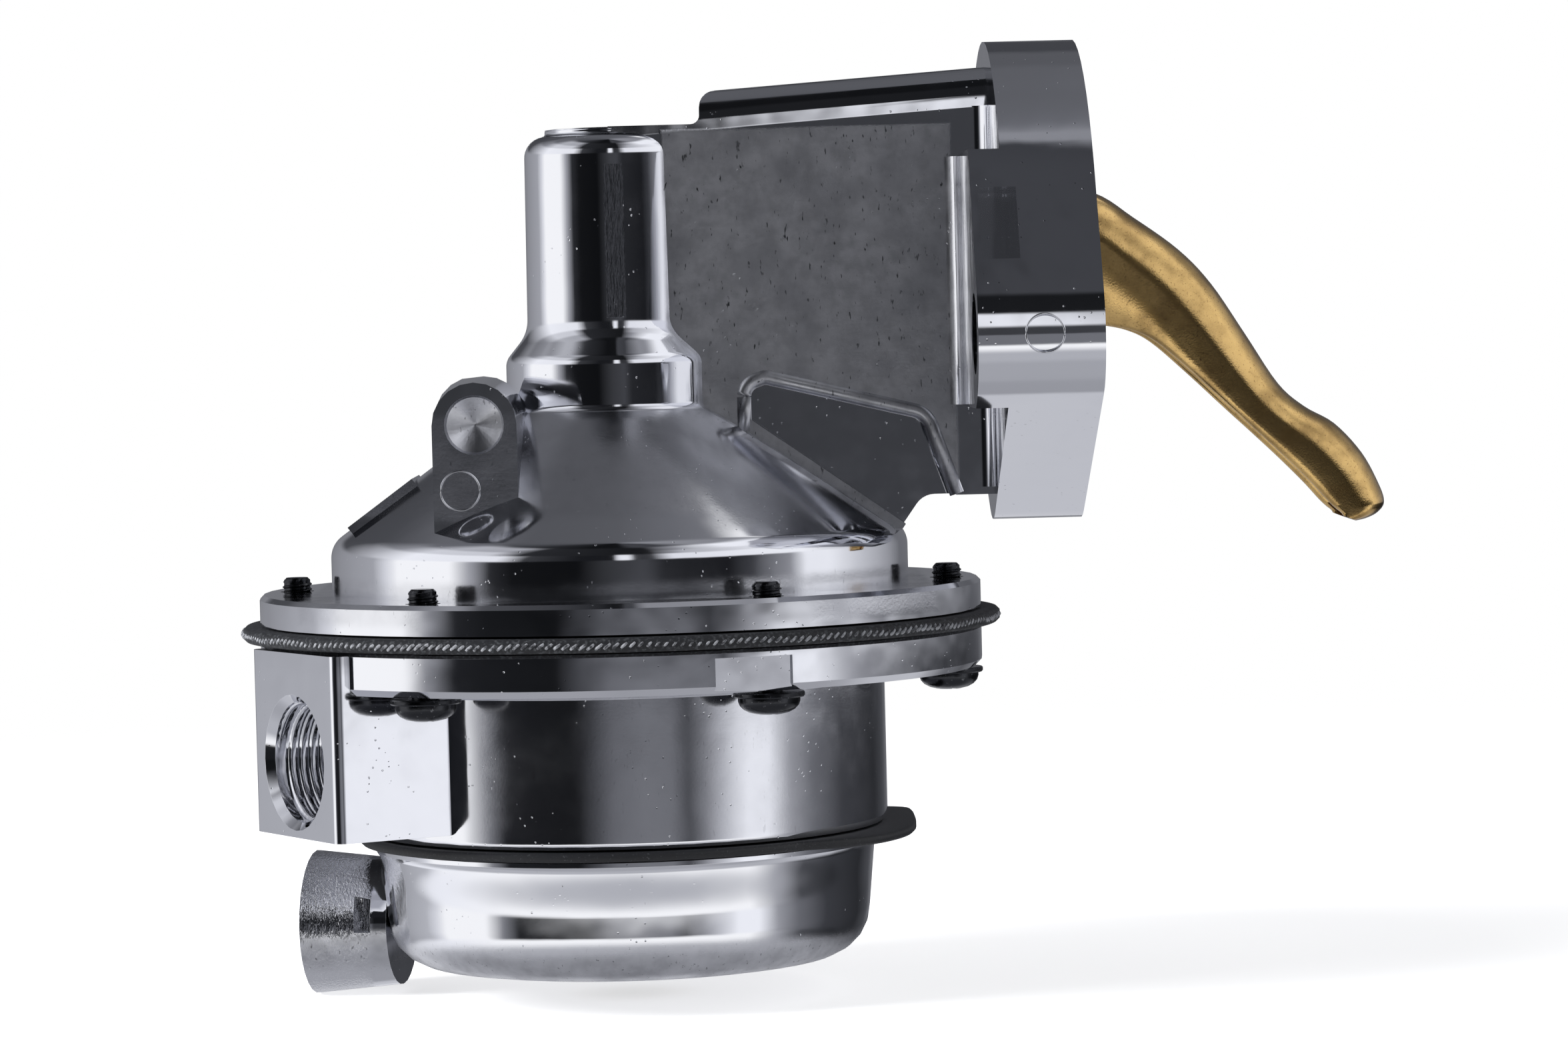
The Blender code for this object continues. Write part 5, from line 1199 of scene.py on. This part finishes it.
# The light tent from the floor upwards. Each row gives the heights in degrees over which it takes over from
# the row below, and its panels as an angle round the pump in degrees, 0 at the camera and 90 at the right,
# with the tone there.
TENT_ROWS = (
    ((-90.0, -90.0), (
        (-180, "#9C9DA2"), (0, "#A8A9AE"), (180, "#9C9DA2"),
    )),
    ((-56.0, -44.0), (
        (-180, "#C4C5CA"), (-90, "#B8B9BE"), (0, "#B4B5BA"), (90, "#B4B5BA"), (180, "#C4C5CA"),
    )),
    ((-36.0, -24.0), (
        (-180, "#D8D9DE"), (-100, "#F6F7FB"), (-60, "#FFFFFF"), (62, "#FFFFFF"), (78, "#A4A5AA"),
        (94, "#4A4B4F"), (118, "#2A2B2E"), (142, "#2F3033"), (160, "#6A6B70"), (180, "#D8D9DE"),
    )),
    ((-23.0, -18.5), (
        (-180, "#8C8D92"), (-150, "#8E8F94"), (-125, "#ACADB2"), (-112, "#B8B9BE"), (-105, "#DADBE0"),
        (-98, "#FFFFFF"), (-72, "#FFFFFF"), (-63, "#808186"), (-54, "#1F2023"), (-20, "#18191B"),
        (-12, "#4A4B4F"), (-4, "#6C6D72"), (10, "#77787D"), (21, "#75767B"), (28, "#4A4B4F"),
        (36, "#85868B"), (45, "#C4C5CA"), (55, "#F6F7FB"), (66, "#F6F7FB"), (77, "#9A9BA0"),
        (90, "#6A6B70"), (110, "#3C3D41"), (142, "#2A2B2E"), (160, "#4A4B4F"), (180, "#8C8D92"),
    )),
    ((-4.2, -2.2), (
        (-180, "#6A6B70"), (-146, "#8E8F94"), (-114, "#A4A5AA"), (-105, "#DADBE0"), (-98, "#FFFFFF"),
        (-70, "#FFFFFF"), (-61, "#A4A5AA"), (-52, "#2A2B2E"), (-42, "#141517"), (-16, "#101113"),
        (-2, "#38393C"), (10, "#424347"), (18, "#26272A"), (44, "#1B1C1F"), (54, "#3A3B3F"),
        (64, "#75767B"), (72, "#8C8D92"), (79, "#F1F2F6"), (92, "#F1F2F6"), (114, "#C2C3C8"),
        (134, "#9A9BA0"), (150, "#6A6B70"), (180, "#6A6B70"),
    )),
    ((8.0, 14.0), (
        (-180, "#3A3B3F"), (-150, "#4A4B4F"), (-120, "#B4B5BA"), (-96, "#F6F7FB"), (-50, "#EDEEF2"),
        (-38, "#3A3B3E"), (-16, "#1B1C1F"), (-0.9, "#1B1C1F"), (0.4, "#F1F2F6"), (4.6, "#F1F2F6"),
        (7, "#2A2B2E"), (14, "#3A3B3E"), (22, "#E6E7EC"), (80, "#F8F9FC"), (104, "#C8C9CE"),
        (143, "#6A6B70"), (180, "#3A3B3F"),
    )),
    ((30.0, 36.0), (
        (-180, "#55565A"), (-150, "#4A4B4F"), (-120, "#8C8D92"), (-96, "#D6D7DC"), (-60, "#D0D1D6"),
        (-44, "#2A2B2E"), (14, "#17181A"), (30, "#B0B1B6"), (80, "#F6F7FB"), (104, "#A8A9AE"),
        (143, "#6A6B70"), (180, "#55565A"),
    )),
    ((44.0, 50.0), (
        (-180, "#5A5B5F"), (-120, "#6A6B70"), (-96, "#B4B5BA"), (-60, "#A8A9AE"), (-44, "#2A2B2E"),
        (14, "#17181A"), (30, "#8C8D92"), (60, "#F6F7FB"), (100, "#F6F7FB"), (126, "#8A8B90"),
        (138, "#FFFFFF"), (153, "#FFFFFF"), (162, "#6A6B70"), (180, "#5A5B5F"),
    )),
    ((60.0, 68.0), (
        (-180, "#5C5D61"), (-120, "#55565A"), (-60, "#2A2B2E"), (-20, "#131416"), (3, "#131416"),
        (10, "#434448"), (30, "#3C3D41"), (60, "#8C8D92"), (110, "#8C8D92"), (150, "#6A6B70"),
        (180, "#5C5D61"),
    )),
)


class PUMP_PT_panel(bpy.types.Panel):
    """Lists what makes the pump, in order"""

    bl_idname = "PUMP_PT_panel"
    bl_label = "Fuel pump"
    bl_space_type = "VIEW_3D"
    bl_region_type = "UI"
    bl_category = "Fuel pump"

    def draw(self, context):
        for operator in OPERATORS:
            self.layout.operator(operator.bl_idname)
        for group in (context.scene.pump_sizes, context.scene.pump_finishes, context.scene.pump_studio):
            column = self.layout.column()
            for name in group.__annotations__:
                column.prop(group, name)


GROUPS = {"pump_sizes": PumpSizes, "pump_finishes": PumpFinishes, "pump_studio": PumpStudio}
OPERATORS = (
    PUMP_OT_castings,
    PUMP_OT_rocker_arm,
    PUMP_OT_port_threads,
    PUMP_OT_flange_screws,
    PUMP_OT_diaphragm,
    PUMP_OT_gasket,
    PUMP_OT_springs,
    PUMP_OT_inner_metal,
    PUMP_OT_studio,
)


def register():
    """Adds the panel, the operators and the groups of settings."""
    for item in (*GROUPS.values(), *OPERATORS, PUMP_PT_panel):
        bpy.utils.register_class(item)
    for name, group in GROUPS.items():
        setattr(bpy.types.Scene, name, PointerProperty(type=group))


def unregister():
    """Takes them away again."""
    for name in GROUPS:
        delattr(bpy.types.Scene, name)
    for item in reversed((*GROUPS.values(), *OPERATORS, PUMP_PT_panel)):
        bpy.utils.unregister_class(item)


def main():
    """Makes every piece and the studio in order."""
    register()
    for operator in OPERATORS:
        group, action = operator.bl_idname.split(".")
        getattr(getattr(bpy.ops, group), action)()


if __name__ == "__main__":
    main()
